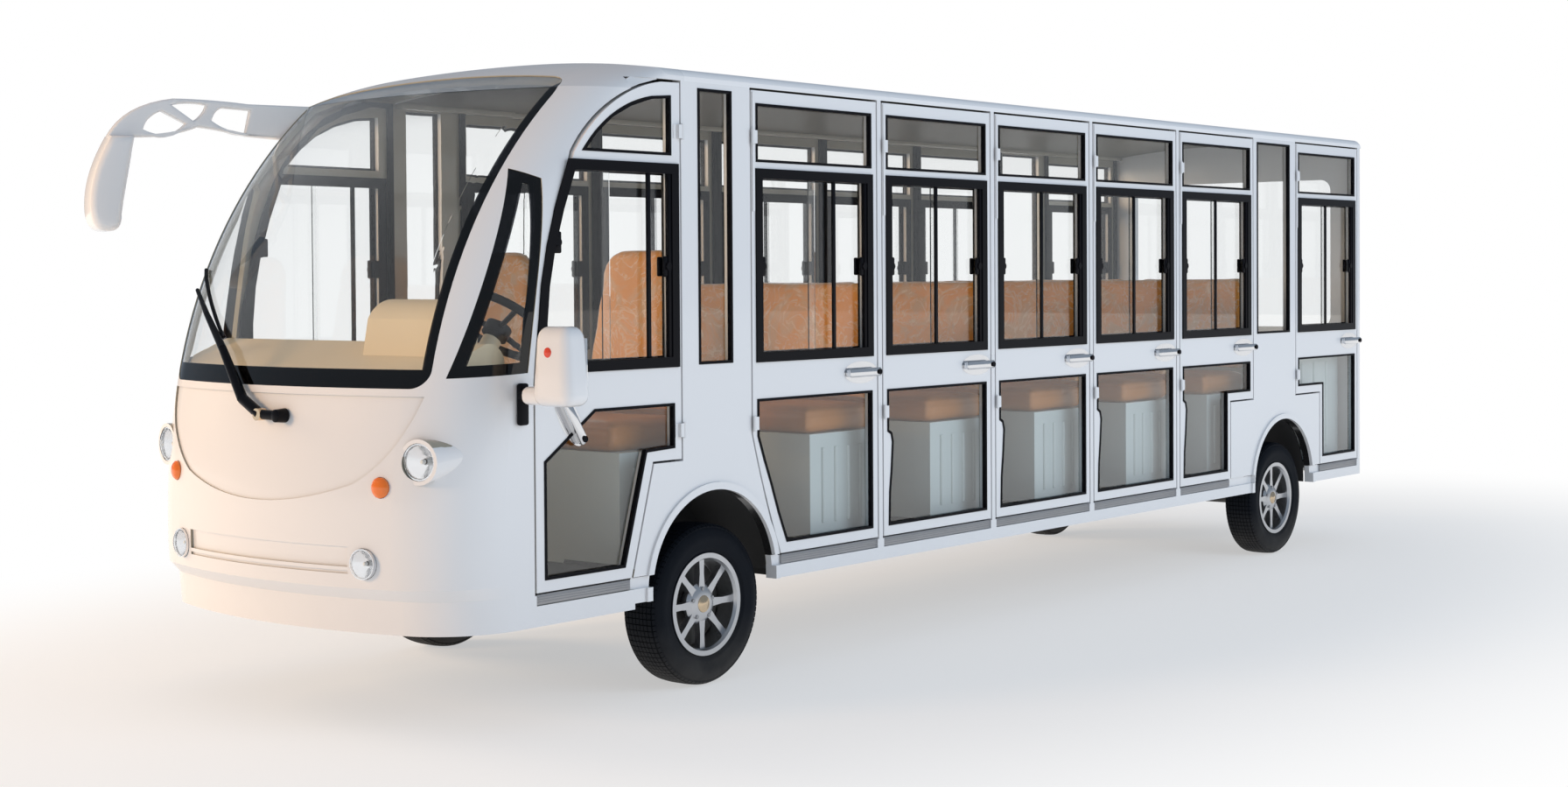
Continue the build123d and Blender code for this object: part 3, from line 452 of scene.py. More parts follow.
leather = finish("tan_leatherette", rgb(0.52, 0.20, 0.05), 0.42, coat=0.15, vary=0.18, scale=5.0, bump=0.0012,
                 grain=260.0)
# The backs' tan is a brighter, more orange copy of the cushions' leatherette: painted light
film_leather_painted_light = filmed("filmed_leatherette", rgb(0.88, 0.37, 0.07))
step_grey = finish("step_alloy", rgb(0.40, 0.40, 0.41), 0.42, metal=0.6, vary=0.12, scale=12.0, bump=0.0003, dust=0.25)
champagne = finish("champagne_plate", rgb(0.70, 0.55, 0.38), 0.22, metal=1.0, scale=40.0)
silver = finish("mirror_silver", rgb(0.86, 0.87, 0.88), 0.03, metal=1.0, vary=0.01, scale=4.0)
LENS = {"coat": 0.6, "scale": 30.0}
lamp_red = finish("red_lens", rgb(0.74, 0.055, 0.014), 0.15, vary=0.1, bump=0.0008, grain=180.0, **LENS)
lamp_white = finish("clear_rib_lens", rgb(0.80, 0.82, 0.84), 0.12, vary=0.05, bump=0.001, grain=160.0, **LENS)
bulb_white = finish("bulb_frost", rgb(0.92, 0.92, 0.90), 0.3, vary=0.02, scale=30.0)
lamp_amber = finish("amber_lens", rgb(0.85, 0.19, 0.012), 0.15, vary=0.1, bump=0.0008, grain=180.0, **LENS)
lamp_clear = finish("lamp_reflector", rgb(0.85, 0.86, 0.88), 0.08, metal=1.0, coat=1.0, vary=0.05, scale=40.0,
                    bump=0.002, grain=90.0)
print("finishes:", len(bpy.data.materials))

# %% [markdown]
# ## Glass
# The panes are clear safety glass, six millimetres thick, with a faint green-grey body.
# Real glass lets light through to the seats, which a ray tracer counts as a rare event.
# So shadow and diffuse rays pass straight through, and only what the eye sees is bent and mirrored.
# The black print round the windscreen and the quarter windows is a mask within the glass, as it is fired on in fact.

# %% Glass finishes
PRINT_BLACK = rgb(0.004, 0.004, 0.005)
# Corners of a quarter window: place ahead of the front axle, height
QUARTER = [(0.900, 1.822), (0.826, 1.789), (0.926, 1.157), (1.195, 1.147)]


def glass(name, tint, printed=None):
    """Clear glass with faint smears, black where the group's mask says so."""
    material = bpy.data.materials.new(name)
    tree = node_tree(material)
    smear = use(tree, WAVES, Scale=3.0, Strength=1.0)["Noise"]
    rough = add(tree, "MapRange", Value=smear, From_Min=0.45, From_Max=0.8, To_Max=0.03)
    base = mix_colour(tree, use(tree, printed)["Mask"], tint, PRINT_BLACK) if printed else tint
    shader = add(tree, "BsdfPrincipled", Base_Color=base, Roughness=rough.outputs["Result"], IOR=1.45,
                 Transmission_Weight=1.0)
    clear = add(tree, "BsdfTransparent", Color=rgb(0.90, 0.92, 0.92))
    rays = add(tree, "LightPath").outputs
    passing = calc(tree, "MAXIMUM", rays["Is Shadow Ray"], rays["Is Diffuse Ray"])
    mixed = add(tree, "MixShader", passing, shader.outputs[0], clear.outputs[0])
    add(tree, "OutputMaterial", mixed.outputs[0])
    return material


def screen_group():
    """Mask of the black print round the windscreen's edges and the shade band at its top."""
    tree, given, out = group("screen_print", {"Low": 1.175, "Shade": 1.95, "Side": 0.630}, ["Mask"])
    split = add(tree, "SeparateXYZ", here(tree)).outputs
    under = calc(tree, "LESS_THAN", split["Z"], given["Low"])
    band = eased(tree, split["Z"], given["Shade"], 2.22, top=0.75)
    edge = calc(tree, "GREATER_THAN", calc(tree, "ABSOLUTE", split["Y"]), given["Side"])
    feed(tree, out["Mask"], calc(tree, "MAXIMUM", calc(tree, "MAXIMUM", under, band, clamp=True), edge))
    return tree


def quarter_group():
    """Mask of the black print round the quarter windows: near one of the four edges, ahead of the front door."""
    tree, given, out = group("quarter_print", {"Width": 0.036}, ["Mask"])
    spot = here(tree)
    least = None
    for (x, z), (nx, nz) in zip(QUARTER, QUARTER[1:] + QUARTER[:1]):
        inward = Vector((z - nz, nx - x)).normalized()
        from_edge = vector_calc(tree, "SUBTRACT", spot, (FRONT_X + x, 0.0, z))
        depth = vector_calc(tree, "DOT_PRODUCT", from_edge, (inward.x, 0.0, inward.y))
        least = calc(tree, "MINIMUM", least, depth) if least else depth
    edge = calc(tree, "LESS_THAN", least, given["Width"])
    ahead = calc(tree, "GREATER_THAN", add(tree, "SeparateXYZ", spot).outputs["X"], FRONT_X + 0.6)
    feed(tree, out["Mask"], calc(tree, "MULTIPLY", edge, ahead))
    return tree


pane_glass = glass("pane_glass", rgb(0.96, 0.97, 0.97))
quarter_glass = glass("quarter_glass", rgb(0.96, 0.97, 0.97), quarter_group())
screen_glass = glass("screen_glass", rgb(0.95, 0.96, 0.96), screen_group())
lens_glass = glass("lens_glass", rgb(0.98, 0.98, 0.98))
print("glass ready")

# %% [markdown]
# ## Finishes on the exact parts
# A part whose shape is right keeps its solid and only changes its finish.
# It could be copied and remade, but then it would no longer be the part that was checked.

# %% Dress the parts
PART_FINISH = {
    "front_shell": nose_white, "roof": roof_white, "rear_wall": body_white, "mirrors": body_white,
    "windscreen": screen_glass, "fixed_glass": quarter_glass, "front_lamps": lamp_clear, "signal_lamps": lamp_amber,
    "floor": deck_grey, "chassis_frame": under_black, "front_axle": under_black, "rear_axle": under_black,
    "leaf_springs": under_black, "knuckle_left": under_black, "knuckle_right": under_black, "battery": case_dark,
    "seat_bases": base_grey, "seat_pads": leather, "dashboard": dash_beige, "steering_wheel": black_paint,
    "wiper": black_paint, "side_frame_left": side_white, "side_frame_right": side_white,
}
for side, s in SIDES:
    for name in DOOR_NAMES:
        PART_FINISH[name + "_" + side] = door_white
        PART_FINISH[name + "_glass_" + side] = pane_glass
    for axle in ("front", "rear"):
        PART_FINISH["tyre_%s_%s" % (axle, side)] = tyre_black
        PART_FINISH["rim_%s_%s" % (axle, side)] = frame_alloy
for node, obj in NODES.items():
    for slot in obj.material_slots:
        slot.material = PART_FINISH[node]
print("parts dressed:", len(PART_FINISH))

# %% [markdown]
# ## Helpers for new pieces
# Each piece is one mesh at the origin, its place in its vertices, riding on one body.
# Boxes with rounded edges and flat rings cut from an outline make nearly all of a bus's trim.
# A ring could be four bars, but insetting one face keeps its corners mitred as extruded trim is.

# %% Piece, block and ring


def piece(name, bm, materials, body, sharp=35.0, flip=False):
    """Mesh object from a bmesh, smooth but for its sharp edges, riding on a body; flip makes it right-handed."""
    if flip:
        bmesh.ops.scale(bm, vec=(1.0, -1.0, 1.0), verts=bm.verts)
    bmesh.ops.recalc_face_normals(bm, faces=bm.faces)
    mesh = bpy.data.meshes.new(name)
    bm.to_mesh(mesh)
    bm.free()
    for material in materials:
        mesh.materials.append(material)
    mesh.shade_smooth()
    mesh.set_sharp_from_angle(angle=math.radians(sharp))
    obj = bpy.data.objects.new(name, mesh)
    bpy.context.collection.objects.link(obj)
    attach(obj, body)
    return obj


def since(bm, before):
    return [f for f in bm.faces if f not in before]


def paint(faces, index):
    for f in faces:
        f.material_index = index


def block(bm, lo, hi, bevel=0.0, segments=2, index=0):
    """Box between two corners, its edges rounded."""
    before = set(bm.faces)
    lo, hi = Vector(lo), Vector(hi)
    verts = bmesh.ops.create_cube(bm, size=1.0)["verts"]
    bmesh.ops.scale(bm, vec=hi - lo, verts=verts)
    bmesh.ops.translate(bm, vec=(hi + lo) / 2, verts=verts)
    if bevel:
        edges = list({e for v in verts for e in v.link_edges})
        bmesh.ops.bevel(bm, geom=edges, offset=bevel, segments=segments, profile=0.5, affect="EDGES", material=-1)
    faces = since(bm, before)
    paint(faces, index)
    return faces


def thicken(bm, faces, step):
    """Draws faces out along a step, as a bar is drawn from its section."""
    moved = bmesh.ops.extrude_face_region(bm, geom=faces)["geom"]
    bmesh.ops.translate(bm, vec=step, verts=[v for v in moved if isinstance(v, bmesh.types.BMVert)])


def outline_ring(bm, outline, width, y0, y1, index=0):
    """Flat ring inside a side-view outline, standing from y0 to y1."""
    before = set(bm.faces)
    verts = [bm.verts.new((x, y0, z)) for x, z in outline]
    whole = [bm.faces.new(verts)]
    whole[0].normal_update()
    ring = bmesh.ops.inset_region(bm, faces=whole, thickness=width, use_even_offset=True, use_boundary=True)["faces"]
    bmesh.ops.delete(bm, geom=whole, context="FACES")
    thicken(bm, ring, (0, y1 - y0, 0))
    faces = since(bm, before)
    paint(faces, index)
    return faces


def tube(bm, a, b, radius, sides=16, tip=None, index=0):
    """Round bar from a to b, ending in the radius tip."""
    before = set(bm.faces)
    a, b = Vector(a), Vector(b)
    run = b - a
    spot = Matrix.Translation((a + b) / 2) @ run.to_track_quat("Z", "Y").to_matrix().to_4x4()
    bmesh.ops.create_cone(bm, cap_ends=True, segments=sides, radius1=radius, radius2=tip or radius, depth=run.length,
                          matrix=spot)
    faces = since(bm, before)
    paint(faces, index)
    return faces


def box_outline(x0, x1, z0, z1):
    return [(x0, z0), (x1, z0), (x1, z1), (x0, z1)]


def along(axle_x, outline):
    """Outline given from an axle, in the bus's own frame."""
    return [(axle_x + x, z) for x, z in outline]


print("piece helpers ready")

# %% [markdown]
# ## Window frames, seals and latches on the doors
# Each door has a fixed pane above, a pair that slides past each other at the waist and a fixed pane below.
# The sliding pair sits in a wide black extrusion on the door's skin, the fixed panes only in a thin rubber seal.
# Outlines could be read off the meshes; naming the few edges keeps the sections crisp.

# %% Door trim
UPPER_Z = (1.880, 2.094)
SLIDE_Z = (1.154, 1.853)
LOWER_Z = (0.478, 1.017)
FRAME_W, FRAME_OUT = 0.036, 0.007
SEAL_W, SEAL_IN = 0.010, 0.016
STILE_AT = {"front_door": 0.79, "passenger_door_1": 0.67}
NOTCH_Z = 0.866


def door_outlines(name, f, r):
    """Outlines of the black frame, the upper seal and the lower seal of a door between two pane edges."""
    low, high = LOWER_Z
    slide = box_outline(r - 0.004, f + 0.004, SLIDE_Z[0] - 0.004, SLIDE_Z[1] + 0.004)
    upper = box_outline(r, f, *UPPER_Z)
    lower = [(r, low), (f - 0.006, low), (f - 0.010, low + 0.130), (f - 0.022, low + 0.230),
             (f - 0.030, low + 0.330), (f - 0.022, low + 0.360), (f, low + 0.372), (f, high), (r, high)]
    if name == "front_door":
        slide = along(FRONT_X, [(0.198, 1.150), (0.880, 1.150), (0.880, 1.300), (0.866, 1.440), (0.838, 1.570),
                                (0.796, 1.700), (0.732, 1.857), (0.198, 1.857)])
        upper = along(FRONT_X, [(0.232, 1.885), (0.672, 1.885), (0.610, 1.952), (0.530, 2.012), (0.435, 2.056),
                                (0.330, 2.086), (0.232, 2.094)])
        lower = along(FRONT_X, [(0.478, low), (0.858, low), (0.858, NOTCH_Z), (0.622, 1.025), (0.222, 1.025),
                                (0.222, NOTCH_Z + 0.002), (0.366, NOTCH_Z - 0.004)])
    elif name == "passenger_door_1":
        bow = along(FRONT_X, [(-0.392, low), (-0.342, 0.590), (-0.300, 0.700), (-0.262, 0.790)])
        lower = [(r, low)] + bow + [(f, 0.880), (f, high), (r, high)]
    elif name == "passenger_door_5":
        lower = [(REAR_X + 0.630, low)] + lower[1:] + [(r, NOTCH_Z), (REAR_X + 0.630, NOTCH_Z)]
    elif name == "rear_door":
        lower = [(r, low), (REAR_X - 0.453, low), (REAR_X - 0.453, NOTCH_Z), (f, NOTCH_Z), (f, high), (r, high)]
    return slide, upper, lower


def door_trim(name):
    """Black frame with its meeting stile and latches, and the rubber seals of the fixed panes."""
    lo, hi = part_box(name + "_glass_left")
    f, r = hi.x, lo.x
    slide, upper, lower = door_outlines(name, f, r)
    bm = bmesh.new()
    outline_ring(bm, slide, FRAME_W, SIDE_Y - 0.003, SIDE_Y + FRAME_OUT)
    for outline in (upper, lower):
        outline_ring(bm, outline, SEAL_W, SIDE_Y - SEAL_IN, SIDE_Y + 0.003, index=1)
    front, rear = max(x for x, z in slide), min(x for x, z in slide)
    z0, z1 = SLIDE_Z[0] + 0.028, SLIDE_Z[1] - 0.028
    outline_ring(bm, slide, FRAME_W + 0.004, SIDE_Y - 0.044, SIDE_Y - 0.0395)
    block(bm, (rear + 0.030, SIDE_Y - 0.013, z0), (rear + 0.052, SIDE_Y + 0.003, z1), 0.002)
    stile = front + (rear - front) * STILE_AT.get(name, 0.5)
    block(bm, (stile - 0.009, SIDE_Y - 0.013, z0), (stile + 0.009, SIDE_Y - 0.004, z1), 0.002)
    fore_latch = (FRONT_X + 0.785, 1.58) if name == "front_door" else (front - 0.044, 1.50)
    for x, z in (fore_latch, (rear + 0.050, 1.50)):
        block(bm, (x - 0.020, SIDE_Y - 0.013, z - 0.036), (x + 0.020, SIDE_Y - 0.001, z + 0.036), 0.006, 3)
        tube(bm, (x, SIDE_Y - 0.008, z), (x, SIDE_Y + 0.005, z), 0.014)
        block(bm, (x - 0.018, SIDE_Y - 0.044, z - 0.034), (x + 0.018, SIDE_Y - 0.032, z + 0.034), 0.005, 3)
    return bm


for name in DOOR_NAMES:
    for side, s in SIDES:
        piece("%s_trim_%s" % (name, side), door_trim(name), [black_paint, rubber_black], "%s_%s" % (name, side),
              flip=s < 0)
print("trimmed doors:", 2 * len(DOOR_NAMES))

# %% [markdown]
# ## Door handles
# A pull handle is a bright cast grip over a shallow dish for the fingers, with a dark lock at one end.
# A ready-made capsule would do from afar; a grip drawn from a bevelled bar catches the light as the real one does.

# %% Handles
HANDLE_Z = 1.090
GRIP_X, GRIP_Z, GRIP_BOW = 0.099, 0.017, 0.008


def handle(x, z, slant):
    """Bright grip, its two feet, the dish behind it and the lock button."""
    bm = bmesh.new()
    before = set(bm.faces)
    dish = bmesh.ops.create_circle(bm, cap_ends=True, segments=40, radius=0.05)
    bmesh.ops.scale(bm, vec=(2.15, 0.86, 1.0), verts=dish["verts"])
    face = since(bm, before)
    bmesh.ops.inset_region(bm, faces=face, thickness=0.006, depth=0.004, use_even_offset=True)
    bmesh.ops.inset_region(bm, faces=face, thickness=0.016, depth=-0.0035, use_even_offset=True)
    stand = Matrix.Translation((0, SIDE_Y, 0)) @ Matrix.Rotation(math.radians(-90), 4, "X")
    bmesh.ops.transform(bm, matrix=stand, verts=bm.verts)
    grip = block(bm, (-GRIP_X, SIDE_Y + 0.012, -GRIP_Z), (GRIP_X, SIDE_Y + 0.030, GRIP_Z), 0.0085, 4)
    for v in {v for f in grip for v in f.verts}:
        v.co.y += GRIP_BOW * (1.0 - (v.co.x / GRIP_X) ** 2)
    for end in (-0.086, 0.086):
        block(bm, (end - 0.012, SIDE_Y + 0.001, -0.012), (end + 0.012, SIDE_Y + 0.020, 0.012), 0.004)
    tube(bm, (-0.082, SIDE_Y + 0.024, 0.0), (-0.082, SIDE_Y + 0.035, 0.0), 0.011, index=1)
    bmesh.ops.rotate(bm, matrix=Matrix.Rotation(math.radians(slant), 3, "Y"), verts=bm.verts)
    bmesh.ops.translate(bm, vec=(x, 0, z), verts=bm.verts)
    return bm


for name in DOOR_NAMES:
    lo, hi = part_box(name + "_glass_left")
    spot = (FRONT_X + 0.742, 1.000, -58.0) if name == "front_door" else (lo.x + 0.072, HANDLE_Z, 0.0)
    for side, s in SIDES:
        piece("%s_handle_%s" % (name, side), handle(*spot), [chrome, rubber_black], "%s_%s" % (name, side),
              flip=s < 0)
print("handles fitted")

# %% [markdown]
# ## Tyres
# The tyres are plain road tyres: a crowned tread of small blocks, rounded shoulders and ringed walls.
# A bump could fake the blocks, but the outline against the floor would stay smooth.
# So a section is spun round the axle and the tread's faces are inset one by one, which leaves grooves between them.

# %% Tyres
RIM_R = 0.172
TREAD_UP = 0.005
# Half of the section: radius, distance from the middle of the tread
SECTION = [
    (RIM_R + 0.002, 0.0645), (RIM_R + 0.014, 0.0660), (RIM_R + 0.026, 0.0740), (RIM_R + 0.030, 0.0775),
    (RIM_R + 0.034, 0.0770), (RIM_R + 0.058, 0.0815), (RIM_R + 0.074, 0.0822), (RIM_R + 0.078, 0.0805),
    (RIM_R + 0.094, 0.0780), (TYRE_R - 0.016, 0.0700), (TYRE_R - 0.008, 0.0600), (TYRE_R - 0.006, 0.0420),
    (TYRE_R - 0.005, 0.0250), (TYRE_R - 0.005, 0.0085),
]
TREAD_STEPS = 84


def tyre(x, y):
    """Tyre spun from its half section, mirrored, with raised tread blocks."""
    bm = bmesh.new()
    points = SECTION + [(r, -a) for r, a in reversed(SECTION)]
    verts = [bm.verts.new((0, a, r)) for r, a in points]
    edges = [bm.edges.new(pair) for pair in zip(verts, verts[1:])]
    bmesh.ops.spin(bm, geom=verts + edges, axis=(0, 1, 0), cent=(0, 0, 0), steps=TREAD_STEPS, angle=2 * math.pi,
                   use_merge=True)
    bmesh.ops.remove_doubles(bm, verts=bm.verts, dist=0.0002)
    bmesh.ops.recalc_face_normals(bm, faces=bm.faces)
    tread = [f for f in bm.faces if all(math.hypot(v.co.x, v.co.z) > TYRE_R - 0.017 for v in f.verts)]
    bmesh.ops.inset_individual(bm, faces=tread, thickness=0.0022, depth=TREAD_UP)
    bmesh.ops.translate(bm, vec=(x, y, TYRE_R), verts=bm.verts)
    return bm


for axle, x in (("front", FRONT_X), ("rear", REAR_X)):
    for side, s in SIDES:
        made = piece("road_tyre_%s_%s" % (axle, side), tyre(x, s * TRACK_Y), [tyre_black],
                     "wheel_%s_%s" % (axle, side), sharp=50.0)
        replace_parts(made, "tyre_%s_%s" % (axle, side))
print("tyres:", 4, "faces each", len(made.data.polygons))

# %% [markdown]
# ## Padded seats
# Each row is a pair of foam benches, and the two front seats have taller, narrower backs.
# A foam block under a tight cover swells between its seams, so a plain rounded box would look like wood.
# One block of each of the four kinds is remeshed to an even grid, blown up a little as cloth and held within a cap.
# The seam of the cover is then drawn in, and the block is copied to every seat.

# %% Shapes of the four pads
VOXEL = 0.016
SWELL_CAP = 0.012
CUSHION_LOW, CUSHION_TOP = 0.858, 0.960
BACK_LOW = 0.966
BACK_THICK, BACK_LEAN = 0.080, 0.062
PAD_INSET = 0.008


def cushion_block(width):
    """Seat cushion with its front edge at x = 0 and its middle at y = 0."""
    bm = bmesh.new()
    half = width / 2 - PAD_INSET
    block(bm, (-0.456, -half, CUSHION_LOW + 0.003), (-0.010, half, CUSHION_TOP - 0.008), 0.026, 4)
    return bm


def back_block(width, top, narrow, shoulder):
    """Leaning back: rounded shoulders, a little narrower at its head."""
    bm = bmesh.new()
    rise = top - BACK_LOW
    half = width / 2 - PAD_INSET
    outline = [(-half, 0.0), (half, 0.0), (half - narrow, rise - shoulder)]
    for k in range(1, 7):
        a = math.radians(15.0 * k)
        outline.append((half - narrow - shoulder + shoulder * math.cos(a),
                        rise - shoulder + shoulder * math.sin(a)))
    outline += [(-y, z) for y, z in reversed(outline[2:])]
    verts = [bm.verts.new((0.0, y, z)) for y, z in outline]
    thicken(bm, [bm.faces.new(verts)], (-BACK_THICK, 0, 0))
    for v in bm.verts:
        v.co.x += -0.363 + (0.010 if v.co.x < -BACK_THICK / 2 else 0.0) - BACK_LEAN * v.co.z / rise - 0.006
        v.co.z += BACK_LOW
    bmesh.ops.recalc_face_normals(bm, faces=bm.faces)
    edges = [e for e in bm.edges if abs(e.verts[0].co.x - e.verts[1].co.x) < 0.065 or e.is_boundary]
    bmesh.ops.bevel(bm, geom=edges, offset=0.022, segments=4, profile=0.5, affect="EDGES", material=-1,
                    clamp_overlap=True)
    return bm


PADS = {
    "bench_cushion": cushion_block(0.684), "bench_back": back_block(0.684, 1.444, 0.010, 0.055),
    "front_cushion": cushion_block(0.540), "front_back": back_block(0.540, 1.574, 0.060, 0.110),
}
print("pad kinds:", list(PADS))

# %% [markdown]
# ## Swelling the pads
# Cloth with a little inner pressure and no gravity rounds the block as foam rounds its cover.
# Twenty steps are enough, and the cap keeps every point inside the room that the exact part leaves.

# %% Swell and seam
PRESSURE = 4.0
SWELL_STEPS = 20
SEAM_Z, SEAM_DEEP, SEAM_WIDE = 0.928, 0.004, 0.007


def even_grid(obj):
    """Pad's mesh rebuilt on an even voxel grid."""
    grid = obj.modifiers.new("even_grid", "REMESH")
    grid.mode = "VOXEL"
    grid.voxel_size = VOXEL
    bpy.context.view_layer.update()
    mesh = bpy.data.meshes.new_from_object(obj.evaluated_get(bpy.context.evaluated_depsgraph_get()))
    obj.modifiers.clear()
    obj.data = mesh
    return mesh


def swell(obj):
    """Blown-up copy of the points of an evenly meshed pad."""
    cloth = obj.modifiers.new("swell", "CLOTH")
    cloth.settings.use_pressure = True
    cloth.settings.uniform_pressure_force = PRESSURE
    cloth.settings.effector_weights.gravity = 0.0
    cloth.settings.quality = 5
    for step in range(1, SWELL_STEPS + 1):
        bpy.context.scene.frame_set(step)
    blown = obj.evaluated_get(bpy.context.evaluated_depsgraph_get()).data
    points = [v.co.copy() for v in blown.vertices]
    obj.modifiers.clear()
    bpy.context.scene.frame_set(1)
    return points


def padded_mesh(name, bm, seamed):
    """Swollen pad, once subdivided and smoothed, with the cover's seam drawn in where it has one."""
    mesh = bpy.data.meshes.new(name)
    bm.to_mesh(mesh)
    bm.free()
    obj = bpy.data.objects.new(name, mesh)
    bpy.context.collection.objects.link(obj)
    mesh = even_grid(obj)
    for vert, blown in zip(mesh.vertices, swell(obj)):
        step = blown - vert.co
        vert.co += step * min(1.0, SWELL_CAP / max(step.length, 1e-6))
    bpy.data.objects.remove(obj)
    bm = bmesh.new()
    bm.from_mesh(mesh)
    bpy.data.meshes.remove(mesh)
    bmesh.ops.subdivide_edges(bm, edges=bm.edges, cuts=1, use_grid_fill=True, smooth=0.4)
    bmesh.ops.smooth_vert(bm, verts=bm.verts, factor=0.5, use_axis_x=True, use_axis_y=True, use_axis_z=True)
    bm.normal_update()
    for v in bm.verts:
        if seamed and abs(v.normal.z) < 0.7:
            v.co -= v.normal * SEAM_DEEP * math.exp(-((v.co.z - SEAM_Z) / SEAM_WIDE) ** 2)
    return bm


SOFT = {kind: padded_mesh(kind, plain, "cushion" in kind) for kind, plain in PADS.items()}
print("pads swollen:", {kind: len(bm.faces) for kind, bm in SOFT.items()})

# %% [markdown]
# ## Seats in their rows
# A pair of benches stands on each of the five moulded bases and a single seat on each side in front.
# Linked copies would be lighter, but each pad is exported as a piece of its own and so gets its own mesh.
# The backs still wear the clear film that they were delivered in; the cushions are bare.

# %% Seats in their rows
BASE_FRONT = [FRONT_X - 0.669 - 0.798 * k for k in range(5)]
BENCH_Y, FRONT_SEAT_Y = 0.348, 0.390


def place_pad(name, kind, x, y, material):
    bm = SOFT[kind].copy()
    bmesh.ops.translate(bm, vec=(x, y, 0.0), verts=bm.verts)
    made = piece(name, bm, [material], "bus_body", sharp=180.0)
    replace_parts(made, "seat_pads")


for side, s in SIDES:
    for k, x in enumerate(BASE_FRONT):
        row = "%d_%s" % (k + 1, side)
        place_pad("bench_cushion_" + row, "bench_cushion", x + 0.020, s * BENCH_Y, leather)
        place_pad("bench_back_" + row, "bench_back", x, s * BENCH_Y, film_leather_painted_light)
    place_pad("front_cushion_" + side, "front_cushion", FRONT_X + 0.410, s * FRONT_SEAT_Y, leather)
    place_pad("front_back_" + side, "front_back", FRONT_X + 0.395, s * FRONT_SEAT_Y, film_leather_painted_light)
for bm in SOFT.values():
    bm.free()
print("pads placed:", 4 * len(BASE_FRONT) + 4)

# %% [markdown]
# ## Door rubbers and step strips
# Behind the gap round each door runs a hollow rubber, which is why the gap reads as a thin black line.
# It could be painted on the door, but a strip on the body stays behind when the door swings open.
# Below each door a ribbed grey strip covers the ledge that feet meet first.

# %% Rubbers and strips
GAP = 0.008
RIB = 0.0015
DOOR_Z, STEP_Z, DOOR_TOP = 0.440, 0.828, 2.140
RUBBER_Y = (SIDE_Y - 0.054, SIDE_Y - 0.0425)


def door_edge(name):
    """Outline of a door's leaf in side view, and the two ends of its straight lower edge."""
    lo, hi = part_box(name + "_glass_left")
    f, r = hi.x + 0.024, lo.x - 0.032
    outline = box_outline(r, f, DOOR_Z, DOOR_TOP)
    ends = (r, f)
    if name == "front_door":
        outline = along(FRONT_X, [(0.446, DOOR_Z), (0.895, DOOR_Z), (0.895, 1.120), (0.879, 1.330), (0.826, 1.530),
                                  (0.776, 1.700), (0.705, 1.880), (0.540, 2.040), (0.420, 2.098), (0.280, 2.138),
                                  (0.187, DOOR_TOP), (0.187, STEP_Z), (0.335, STEP_Z)])
        ends = (FRONT_X + 0.446, FRONT_X + 0.895)
    elif name == "passenger_door_1":
        bow = along(FRONT_X, [(-0.360, DOOR_Z), (-0.318, 0.560), (-0.268, 0.681), (-0.236, 0.790)])
        outline = [(r, DOOR_Z)] + bow + [(f, 0.890), (f, DOOR_TOP), (r, DOOR_TOP)]
        ends = (r, FRONT_X - 0.360)
    elif name == "passenger_door_5":
        notch = REAR_X + 0.600
        outline = [(notch, DOOR_Z), (f, DOOR_Z), (f, DOOR_TOP), (r, DOOR_TOP), (r, STEP_Z), (notch, STEP_Z)]
        ends = (notch, f)
    elif name == "rear_door":
        notch = REAR_X - 0.425
        outline = [(r, DOOR_Z), (notch, DOOR_Z), (notch, STEP_Z), (f, STEP_Z), (f, DOOR_TOP), (r, DOOR_TOP)]
        ends = (r, notch)
    return outline, ends


def grown(outline, by):
    """Outline moved outwards, corner by corner."""
    out = []
    count = len(outline)
    for k in range(count):
        p, q, n = (Vector(outline[(k + j) % count]) for j in (-1, 0, 1))
        a = Vector(((q - p).y, -(q - p).x)).normalized()
        b = Vector(((n - q).y, -(n - q).x)).normalized()
        mitre = (a + b) / max(1.0 + a.dot(b), 0.3)
        out.append(tuple(q + mitre * by))
    return out


TALL_PANES = [(FRONT_X - 0.092, FRONT_X + 0.092), (REAR_X - 0.062, REAR_X + 0.308)]
TALL_Z = (1.154, 2.128)
for side, s in SIDES:
    rubbers, strips = bmesh.new(), bmesh.new()
    for x0, x1 in TALL_PANES:
        outline_ring(rubbers, box_outline(x0, x1, *TALL_Z), SEAL_W, SIDE_Y - SEAL_IN, SIDE_Y + 0.003)
    for name in DOOR_NAMES:
        outline, (x0, x1) = door_edge(name)
        outline_ring(rubbers, grown(outline, GAP + 0.010), 0.026, *RUBBER_Y)
        block(strips, (x0 + 0.004, SIDE_Y - 0.0115, 0.400), (x1 - 0.004, SIDE_Y - 0.003, 0.434), 0.002)
        for z in (0.409, 0.417, 0.425):
            block(strips, (x0 + 0.008, SIDE_Y - 0.004, z - RIB), (x1 - 0.008, SIDE_Y - 0.0015, z + RIB), 0.0007)
    piece("door_rubbers_" + side, rubbers, [rubber_black], "bus_body", flip=s < 0)
    piece("step_strips_" + side, strips, [step_grey], "bus_body", flip=s < 0)
print("rubbers and strips on both sides")

# %% [markdown]
# ## Closing strips under the roof
# The roof is arched and the walls are cut straight, so closing strips fill the slits between them.
# They could be part of the walls; here the one at the back follows the arch and dips into the roof,
# those along the sides are plain rails behind the doors' upper edges, and a corner piece fills in over each front door.

